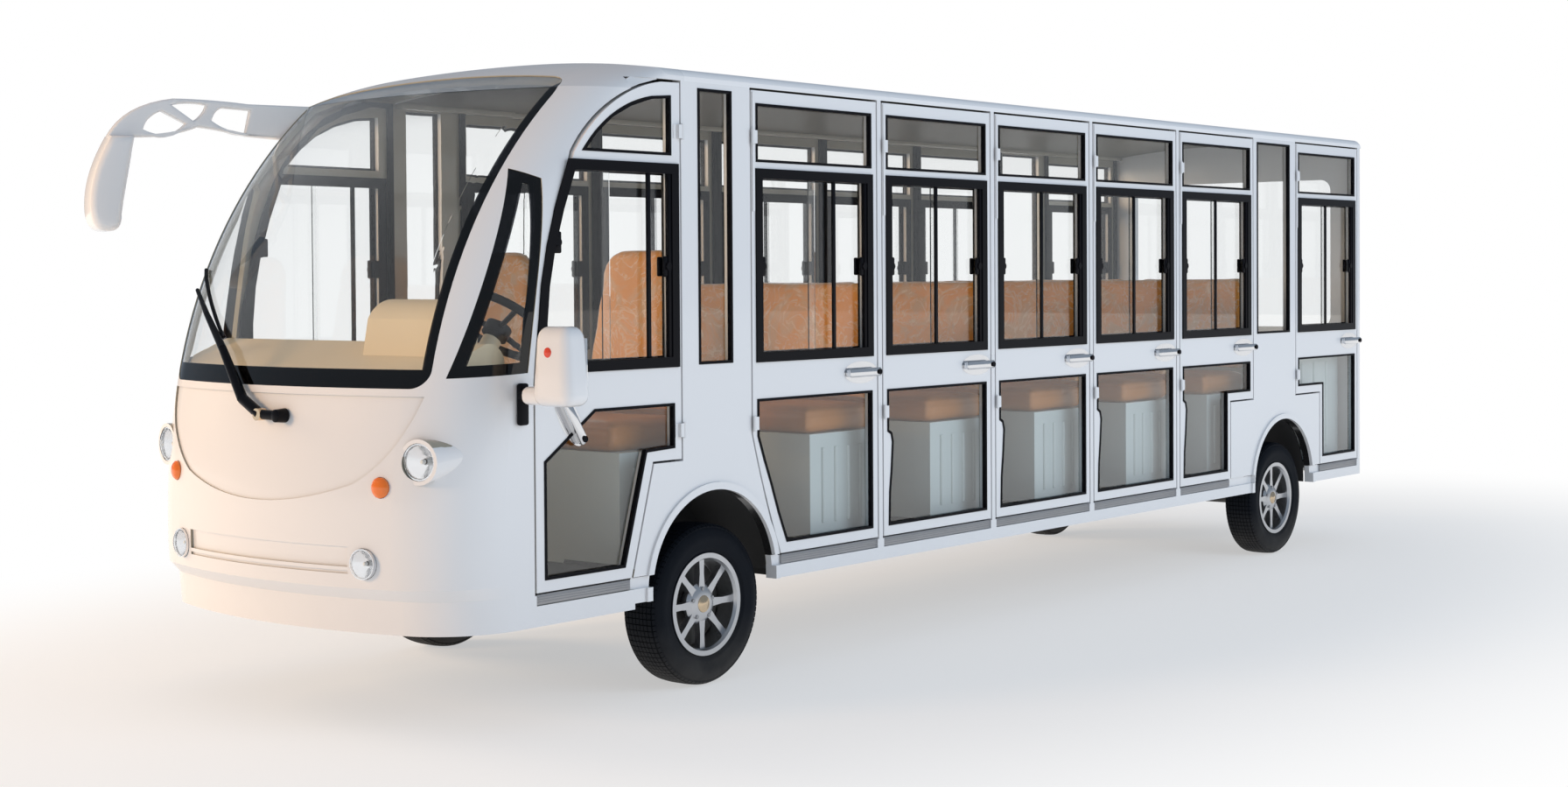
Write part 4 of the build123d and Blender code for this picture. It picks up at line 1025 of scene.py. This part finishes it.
# %% Closing strips
WALL_LO, WALL_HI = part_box("rear_wall")
ARCH_RISE = 0.048
STRIP_DEEP = 0.034
half = SIDE_Y - 0.050
bow = [half * (k / 10.0 - 1.0) for k in range(21)]
bm = bmesh.new()
low = [bm.verts.new((WALL_LO.x + 0.003, y, WALL_HI.z - 0.003)) for y in (half, -half)]
high = [bm.verts.new((WALL_LO.x + 0.003, y, WALL_HI.z + 0.004 + ARCH_RISE * (1.0 - (y / half) ** 2))) for y in bow]
thicken(bm, [bm.faces.new(low + high)], (STRIP_DEEP, 0, 0))
piece("rear_end_panel", bm, [body_white], "bus_body")
# Columns: place ahead of the front axle, across, height
CORNER = [
    (0.300, 0.788, 2.1445), (0.314, 0.788, 2.1418), (0.338, 0.788, 2.1358), (0.362, 0.787, 2.1298),
    (0.387, 0.787, 2.1235), (0.403, 0.786, 2.1175), (0.419, 0.785, 2.1115), (0.436, 0.784, 2.1045),
    (0.442, 0.780, 2.1180), (0.438, 0.770, 2.1300), (0.426, 0.764, 2.1400), (0.407, 0.762, 2.1490),
    (0.380, 0.769, 2.1520), (0.340, 0.780, 2.1520), (0.300, 0.787, 2.1520),
]
for side, s in SIDES:
    bm = bmesh.new()
    face = bm.faces.new([bm.verts.new((FRONT_X + x, s * y, z)) for x, y, z in CORNER])
    thicken(bm, [face], (0, -STRIP_DEEP * s, 0))
    bmesh.ops.triangulate(bm, faces=[f for f in bm.faces if len(f.verts) > 4])
    piece("door_corner_" + side, bm, [body_white], "bus_body", sharp=40.0)
    bm = bmesh.new()
    y = sorted((s * (SIDE_Y - 0.085), s * (SIDE_Y - 0.047)))
    block(bm, (WALL_HI.x, y[0], WALL_HI.z - 0.016), (FRONT_X + 0.150, y[1], WALL_HI.z + 0.012), 0.003)
    piece("roof_rail_" + side, bm, [door_white], "bus_body")
print("closing strips fitted")

# %% [markdown]
# ## Lamps
# A headlamp is a bright bowl behind a clear domed lens, with a bulb at its focus.
# The lens could be a flat disc, but the dome and the facets of the bowl give a lamp its sparkle.
# Each lamp's place is read from the exact lens that it stands for; its height and aim are listed.

# %% Front lamps
# Columns: place across, height, radius, turn outwards in degrees
FRONT_LAMPS = [("headlamp", 0.658, 0.887, 0.059, 12.0), ("fog_lamp", 0.475, 0.560, 0.049, 10.0)]
BLINKER = (0.534, 0.804, 0.033, 12.0)
FACETS = 28


def lens_spot(node, y, z, radius, turn):
    """Turn and place of a round lens: z forward along its aim, origin in the middle of its front."""
    aim = Vector((math.cos(math.radians(turn)), math.sin(math.radians(turn)), 0.0))
    near = [v.co for v in NODES[node].data.vertices
            if v.co.x > 0 and abs(v.co.y - y) < radius + 0.03 and abs(v.co.z - z) < radius + 0.002]
    top = max(p.dot(aim) for p in near)
    front = [p for p in near if p.dot(aim) > top - 0.0005]
    centre = sum(front, Vector()) / len(front)
    centre.z = z
    return Matrix.Translation(centre) @ aim.to_track_quat("Z", "Y").to_matrix().to_4x4()


def dish(bm, section, steps, index=0):
    """Surface spun about z from (radius, height) points."""
    before = set(bm.faces)
    verts = [bm.verts.new((r, 0.0, h)) for r, h in section]
    edges = [bm.edges.new(pair) for pair in zip(verts, verts[1:])]
    bmesh.ops.spin(bm, geom=verts + edges, axis=(0, 0, 1), cent=(0, 0, 0), steps=steps, angle=2 * math.pi,
                   use_merge=True)
    near = list({v for f in since(bm, before) for v in f.verts})
    bmesh.ops.remove_doubles(bm, verts=near, dist=0.00002)
    faces = since(bm, before)
    paint(faces, index)
    return faces


def lamp_bowl(radius):
    """Bright bowl with faceted wall, rim and bulb."""
    bm = bmesh.new()
    deep = 0.52 * radius
    wall = [(radius * t, -deep * (1 - t * t) - 0.003) for t in (0.16, 0.35, 0.55, 0.75, 0.93)]
    back = -deep - 0.006
    dish(bm, wall + [(radius * 0.93, 0.001), (radius, 0.001), (radius, back), (radius * 0.16, back), wall[0]], FACETS)
    bulb = [(0.0, 0.45), (0.10, 0.5), (0.13, 0.7), (0.13, 1.0), (0.0, 1.0)]
    dish(bm, [(radius * r, -deep * h) for r, h in bulb], 12, index=1)
    return bm


def lamp_lens(radius, height):
    """Clear dome, three millimetres thick."""
    bm = bmesh.new()
    turns = [k * math.pi / 12 for k in range(7)]
    top = [(radius * 0.99 * math.sin(a), height * math.cos(a) + 0.0015) for a in turns]
    inner = [(r * 0.95, h - 0.0025) for r, h in reversed(top)]
    dish(bm, top + inner, 40)
    return bm


for name, y, z, radius, turn in FRONT_LAMPS:
    spot = lens_spot("front_lamps", y, z, radius, turn)
    for side, s in SIDES:
        bowl, lens = lamp_bowl(radius), lamp_lens(radius * 0.93, 0.30 * radius)
        for bm in (bowl, lens):
            bmesh.ops.transform(bm, matrix=spot, verts=bm.verts)
        made = piece("%s_bowl_%s" % (name, side), bowl, [lamp_clear, bulb_white], "bus_body",
                     sharp=10.0, flip=s < 0)
        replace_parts(made, "front_lamps")
        piece("%s_lens_%s" % (name, side), lens, [lens_glass], "bus_body", flip=s < 0)
print("front lamps fitted:", 2 * len(FRONT_LAMPS))

# %% [markdown]
# ## Indicators and tail lamps
# Indicators are small ribbed domes, tail lamps are tall slots in three colours: amber, red and white for reversing.
# The slots are hidden in the photograph, so they follow what such buses carry.
# One bar in three finishes would do, but three short bars leave the thin joints between the lenses.

# %% Signal lamps
spot = lens_spot("signal_lamps", *BLINKER)
TAIL_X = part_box("signal_lamps")[0].x + 0.001
TAIL_DEEP, TAIL_HALF = 0.037, 0.043
# Columns: foot, head, round foot, round head
TAIL_LENSES = [(0.973, 1.038, False, True), (0.848, 0.971, False, False), (0.762, 0.846, True, False)]


def half_round(y, z, start):
    """Half circle of a tail lamp's end, from an angle on."""
    turns = [start + k * math.pi / 10 for k in range(11)]
    return [(y + TAIL_HALF * math.cos(a), z + TAIL_HALF * math.sin(a)) for a in turns]


def tail_lens(bm, y, z0, z1, round_low, round_high, index):
    """Upright lens of a tail lamp with a round end where asked."""
    before = set(bm.faces)
    low = half_round(y, z0 + TAIL_HALF, math.pi) if round_low else [(y - TAIL_HALF, z0), (y + TAIL_HALF, z0)]
    high = half_round(y, z1 - TAIL_HALF, 0.0) if round_high else [(y + TAIL_HALF, z1), (y - TAIL_HALF, z1)]
    face = bm.faces.new([bm.verts.new((TAIL_X + TAIL_DEEP, py, pz)) for py, pz in low + high])
    thicken(bm, [face], (-TAIL_DEEP, 0, 0))
    rim = {e for f in since(bm, before) for e in f.edges if all(v.co.x < TAIL_X + 1e-5 for v in e.verts)}
    bmesh.ops.bevel(bm, geom=[e for e in bm.edges if e in rim], offset=0.006, segments=3, profile=0.5,
                    affect="EDGES", material=-1)
    paint(since(bm, before), index)


for side, s in SIDES:
    bm = bmesh.new()
    radius = BLINKER[2]
    dome = [(0.0, 0.004), (radius * 0.5, 0.002), (radius * 0.8, -0.003), (radius, -0.010)]
    dish(bm, dome + [(radius, -0.035), (0.0, -0.035)], 32)
    bmesh.ops.transform(bm, matrix=spot, verts=bm.verts)
    made = piece("indicator_" + side, bm, [lamp_amber], "bus_body", flip=s < 0)
    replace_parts(made, "signal_lamps")
    bm = bmesh.new()
    for index, lens in enumerate(TAIL_LENSES):
        tail_lens(bm, s * (SIDE_Y - 0.100), *lens, index)
    made = piece("tail_lamp_" + side, bm, [lamp_amber, lamp_red, lamp_white], "bus_body")
    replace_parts(made, "signal_lamps")
print("lamps fitted")

# %% [markdown]
# ## Mirrors
# The left mirror is a white head on a short black bracket; the right one hangs from an open arm high on the pillar.
# The arm is a moulding with three windows in it, drawn as one flat curve with holes and given round edges.
# A mesh with cut holes would do, but a filled curve rounds every inner and outer edge in one step.
# The root of the arm is run back until it meets the skin, height by height.

# %% Mirror arm and heads
ARM_WAY = Vector((0.927, -0.375, 0.0))
ARM_ROOT = Vector((FRONT_X + 0.800, 0.050 - SIDE_Y, 2.192))
ARM_TURN = Matrix((ARM_WAY, Vector((0, 0, 1)), ARM_WAY.cross(Vector((0, 0, 1))))).transposed().to_4x4()
ARM_SPOT = Matrix.Translation(ARM_ROOT) @ ARM_TURN
LEFT_HEAD = Vector((FRONT_X + 0.985, SIDE_Y + 0.209, 1.185))


def skin_reach(height):
    """How far along the arm's plane the pillar's skin lies at a height below the eaves."""
    start = ARM_SPOT @ Vector((0.10, height, 0.0))
    hit, spot, normal, face = NODES["front_shell"].ray_cast(start, -ARM_WAY)
    return (spot - ARM_ROOT).dot(ARM_WAY) if hit else -0.19


def arc(a, m, b, steps=8):
    """Points of a smooth bow from a to b that passes through m."""
    a, m, b = Vector(a), Vector(m), Vector(b)
    pull = 2.0 * m - 0.5 * (a + b)
    parts = [k / steps for k in range(steps)]
    return [tuple(a * (1 - t) ** 2 + pull * 2 * t * (1 - t) + b * t * t) for t in parts]


def arcs(*rows):
    """Bows one after another, each given by its two ends and a point on the way."""
    return [point for row in rows for point in arc(*row)]


def plate(outlines, thick, edge):
    """Rounded plate of one outer outline and its holes, as a bmesh in the arm's plane."""
    curve = bpy.data.curves.new("plate", "CURVE")
    curve.dimensions = "2D"
    curve.fill_mode = "BOTH"
    curve.bevel_depth = edge
    curve.bevel_resolution = 4
    curve.offset = -edge
    curve.extrude = thick / 2 - edge
    for points in outlines:
        spline = curve.splines.new("POLY")
        spline.points.add(len(points) - 1)
        for knot, (x, y) in zip(spline.points, points):
            knot.co = (x, y, 0.0, 1.0)
        spline.use_cyclic_u = True
    obj = bpy.data.objects.new("plate", curve)
    bpy.context.collection.objects.link(obj)
    bpy.context.view_layer.update()
    mesh = bpy.data.meshes.new_from_object(obj.evaluated_get(bpy.context.evaluated_depsgraph_get()))
    bpy.data.objects.remove(obj)
    bpy.data.curves.remove(curve)
    bm = bmesh.new()
    bm.from_mesh(mesh)
    bpy.data.meshes.remove(mesh)
    bmesh.ops.remove_doubles(bm, verts=bm.verts, dist=0.0001)
    return bm


ROOT_SINK = 0.014
root = [(skin_reach(h) - ROOT_SINK, h) for h in (-0.212, -0.190, -0.165, -0.140, -0.110, -0.084)]
arm_edge = root + arcs(
    ((0.050, -0.082), (0.190, -0.072), (0.325, -0.070)), ((0.325, -0.070), (0.470, -0.118), (0.560, -0.214)),
    ((0.560, -0.214), (0.510, -0.216), (0.462, -0.214), 2), ((0.462, -0.214), (0.340, -0.203), (0.237, -0.172)),
    ((0.237, -0.172), (0.140, -0.186), (0.030, -0.208)))
arm_holes = [
    arcs(((0.432, -0.185), (0.406, -0.140), (0.350, -0.112))) + [(0.281, -0.161)] +
    arcs(((0.281, -0.161), (0.350, -0.200), (0.432, -0.185))),
    arcs(((0.330, -0.094), (0.268, -0.086), (0.205, -0.092)), ((0.205, -0.092), (0.226, -0.128), (0.262, -0.156))),
    arcs(((0.186, -0.146), (0.168, -0.112), (0.140, -0.098))) + [(0.045, -0.106), (0.062, -0.188)] +
    arcs(((0.062, -0.188), (0.130, -0.176), (0.186, -0.146))),
]
head_edge = arcs(
    ((0.554, -0.211), (0.607, -0.330), (0.628, -0.437)), ((0.628, -0.437), (0.618, -0.524), (0.572, -0.553)),
    ((0.572, -0.553), (0.530, -0.540), (0.519, -0.492)), ((0.519, -0.492), (0.494, -0.340), (0.470, -0.211)))
head_edge += [(0.470, -0.211)]
for name, outlines, thick, edge in (("mirror_arm_right", [arm_edge] + arm_holes, 0.044, 0.010),
                                    ("mirror_head_right", [head_edge], 0.146, 0.024)):
    bm = plate(outlines, thick, edge)
    bmesh.ops.transform(bm, matrix=ARM_SPOT, verts=bm.verts)
    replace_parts(piece(name, bm, [body_white], "bus_body", sharp=50.0), "mirrors")

bm = bmesh.new()
head = block(bm, (-0.060, -0.084, -0.126), (0.060, 0.084, 0.126), 0.040, 6)
for v in {v for f in head for v in f.verts}:
    v.co.y *= 1.06 - 0.9 * (v.co.z + 0.126)
    v.co.x *= 1.0 - 0.7 * (v.co.z + 0.126)
block(bm, (-0.040, -0.150, -0.124), (0.040, -0.030, -0.066), 0.024, 5)
bmesh.ops.translate(bm, vec=LEFT_HEAD, verts=bm.verts)
foot = Vector((FRONT_X + 0.960, SIDE_Y, 1.060))
block(bm, foot + Vector((-0.020, 0.0, -0.070)), foot + Vector((0.022, 0.022, 0.066)), 0.009, 3, index=1)
tube(bm, foot + Vector((0.0, 0.012, 0.026)), foot + Vector((0.012, 0.090, 0.040)), 0.024, 20, tip=0.021, index=1)
tube(bm, foot + Vector((0.012, 0.090, 0.040)), foot + Vector((0.018, 0.165, 0.040)), 0.021, 20, tip=0.019, index=1)
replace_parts(piece("mirror_left", bm, [body_white, black_paint], "bus_body"), "mirrors")
print("mirrors fitted, root of the arm at", [round(x, 3) for x, h in root])

# %% [markdown]
# ## Mirror glass and repeater
# Each head holds a thin silvered pane that looks back, and the left one a small red repeater on its front.
# The pane could be a finish on the head's back face; as a plate of its own it has a crisp edge to catch light.

# %% Mirror glass and repeater
bm = bmesh.new()
block(bm, LEFT_HEAD + Vector((-0.0625, -0.056, -0.098)), LEFT_HEAD + Vector((-0.0585, 0.056, 0.088)), 0.0015)
before = set(bm.faces)
block(bm, (-0.002, -0.095, -0.044), (0.002, 0.095, 0.044), 0.0015)
lean = Matrix.Rotation(math.radians(9.9), 4, "Z")
bmesh.ops.transform(bm, matrix=ARM_SPOT @ Matrix.Translation((0.4985, -0.368, 0.0)) @ lean,
                    verts=list({v for f in since(bm, before) for v in f.verts}))
piece("mirror_glass", bm, [silver], "bus_body")
bm = bmesh.new()
dish(bm, [(0.0, 0.006), (0.010, 0.004), (0.016, 0.0), (0.017, -0.004), (0.017, -0.010), (0.0, -0.010)], 28)
dot = LEFT_HEAD + Vector((0.0535, -0.006, 0.045))
ahead = Vector((1, 0, 0)).to_track_quat("Z", "Y").to_matrix().to_4x4()
bmesh.ops.transform(bm, matrix=Matrix.Translation(dot) @ ahead, verts=bm.verts)
piece("mirror_repeater", bm, [lamp_red], "bus_body")
print("mirror glass and repeater fitted")

# %% [markdown]
# ## Wiper
# A sprung arm leaves a capped pivot on the hood, turns at a plated elbow and lies along the windscreen with its blade.
# Its line was read from the photograph, and a straight bar would leave or cut the curved glass.
# So every point is dropped onto the skin and the bar runs from point to point.

# %% Wiper
SKIN = [NODES["front_shell"], NODES["windscreen"]]


def on_skin(y, z, out):
    """Point in front of the nose or the windscreen, a distance off the skin."""
    best = None
    for node in SKIN:
        hit, spot, normal, face = node.ray_cast(Vector((9.0, y, z)), Vector((-1, 0, 0)))
        if hit and (best is None or spot.x > best.x):
            best = spot
    return best + Vector((out, 0, 0))


bm = bmesh.new()
pivot, elbow = on_skin(0.110, 1.020, 0.002), on_skin(0.020, 1.022, 0.030)
tube(bm, pivot, pivot + Vector((0.040, 0, 0)), 0.024, 24, tip=0.021)
tube(bm, pivot + Vector((0.040, 0, 0)), pivot + Vector((0.046, 0, 0)), 0.021, 24, tip=0.012)
tube(bm, pivot + Vector((0.026, 0, 0)), elbow, 0.017, 16, tip=0.016)
tube(bm, elbow - Vector((0.016, 0, 0)), elbow + Vector((0.016, 0, 0)), 0.020, 24, index=1)
# Columns: place across, height, distance off the skin
ARM = [(0.020, 1.022, 0.030), (-0.080, 1.070, 0.034), (-0.250, 1.232, 0.032), (-0.430, 1.345, 0.030),
       (-0.590, 1.428, 0.026)]
ARM_R = (0.019, 0.018, 0.014, 0.010, 0.007)
run = [on_skin(*row) for row in ARM]
for k in range(len(run) - 1):
    tube(bm, run[k], run[k + 1], ARM_R[k], 12, tip=ARM_R[k + 1])
BLADE = [(-0.300 - 0.325 * t, 1.268 + 0.232 * t) for t in [k / 8.0 for k in range(9)]]
for out, thick, index in ((0.010, 0.006, 0), (0.004, 0.003, 2)):
    run = [on_skin(y, z, out) for y, z in BLADE]
    for a, b in zip(run, run[1:]):
        tube(bm, a, b, thick, 8, index=index)
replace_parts(piece("wiper_set", bm, [black_paint, champagne, rubber_black], "bus_body"), "wiper")
print("wiper laid")

# %% [markdown]
# ## Wheel faces
# The cast rims carry a flared boss where the spokes meet, a plated cap over the hub and five nuts in a ring.
# Behind the spokes is the dark brake drum, without which one would look right through the wheel.
# All are turned or hexagonal pieces, so spun sections and six-sided prisms are all they need.

# %% Caps and nuts
HUB_OUT = 0.052
NUT_RING, NUTS = 0.054, 5
CAP = [(0.0, 0.013), (0.014, 0.012), (0.022, 0.008), (0.030, 0.006), (0.033, 0.001), (0.033, -0.006), (0.0, -0.006)]
BOSS = [(0.030, 0.004), (0.042, 0.003), (0.056, -0.001), (0.068, -0.008), (0.074, -0.016), (0.074, -0.026),
        (0.030, -0.026), (0.030, 0.004)]
DRUM = [(0.055, -0.060), (0.140, -0.060), (0.153, -0.066), (0.153, -0.082), (0.055, -0.082), (0.055, -0.060)]
for axle, x in (("front", FRONT_X), ("rear", REAR_X)):
    for side, s in SIDES:
        bm = bmesh.new()
        dish(bm, CAP, 32)
        dish(bm, BOSS, 40, index=2)
        dish(bm, DRUM, 40, index=3)
        for k in range(NUTS):
            a = math.radians(90 + 360 / NUTS * k)
            hole = NUT_RING * Vector((math.cos(a), math.sin(a), 0.0))
            tube(bm, hole + Vector((0, 0, -0.012)), hole + Vector((0, 0, 0.003)), 0.0085, 6, tip=0.0075, index=4)
        out = Vector((0, 1, 0)).to_track_quat("Z", "Y").to_matrix().to_4x4()
        bmesh.ops.transform(bm, matrix=Matrix.Translation((x, TRACK_Y + HUB_OUT, TYRE_R)) @ out, verts=bm.verts)
        piece("wheel_cap_%s_%s" % (axle, side), bm, [champagne, chrome, frame_alloy, under_black, step_grey],
              "wheel_%s_%s" % (axle, side), flip=s < 0)
print("caps, bosses, drums and nuts on four wheels")
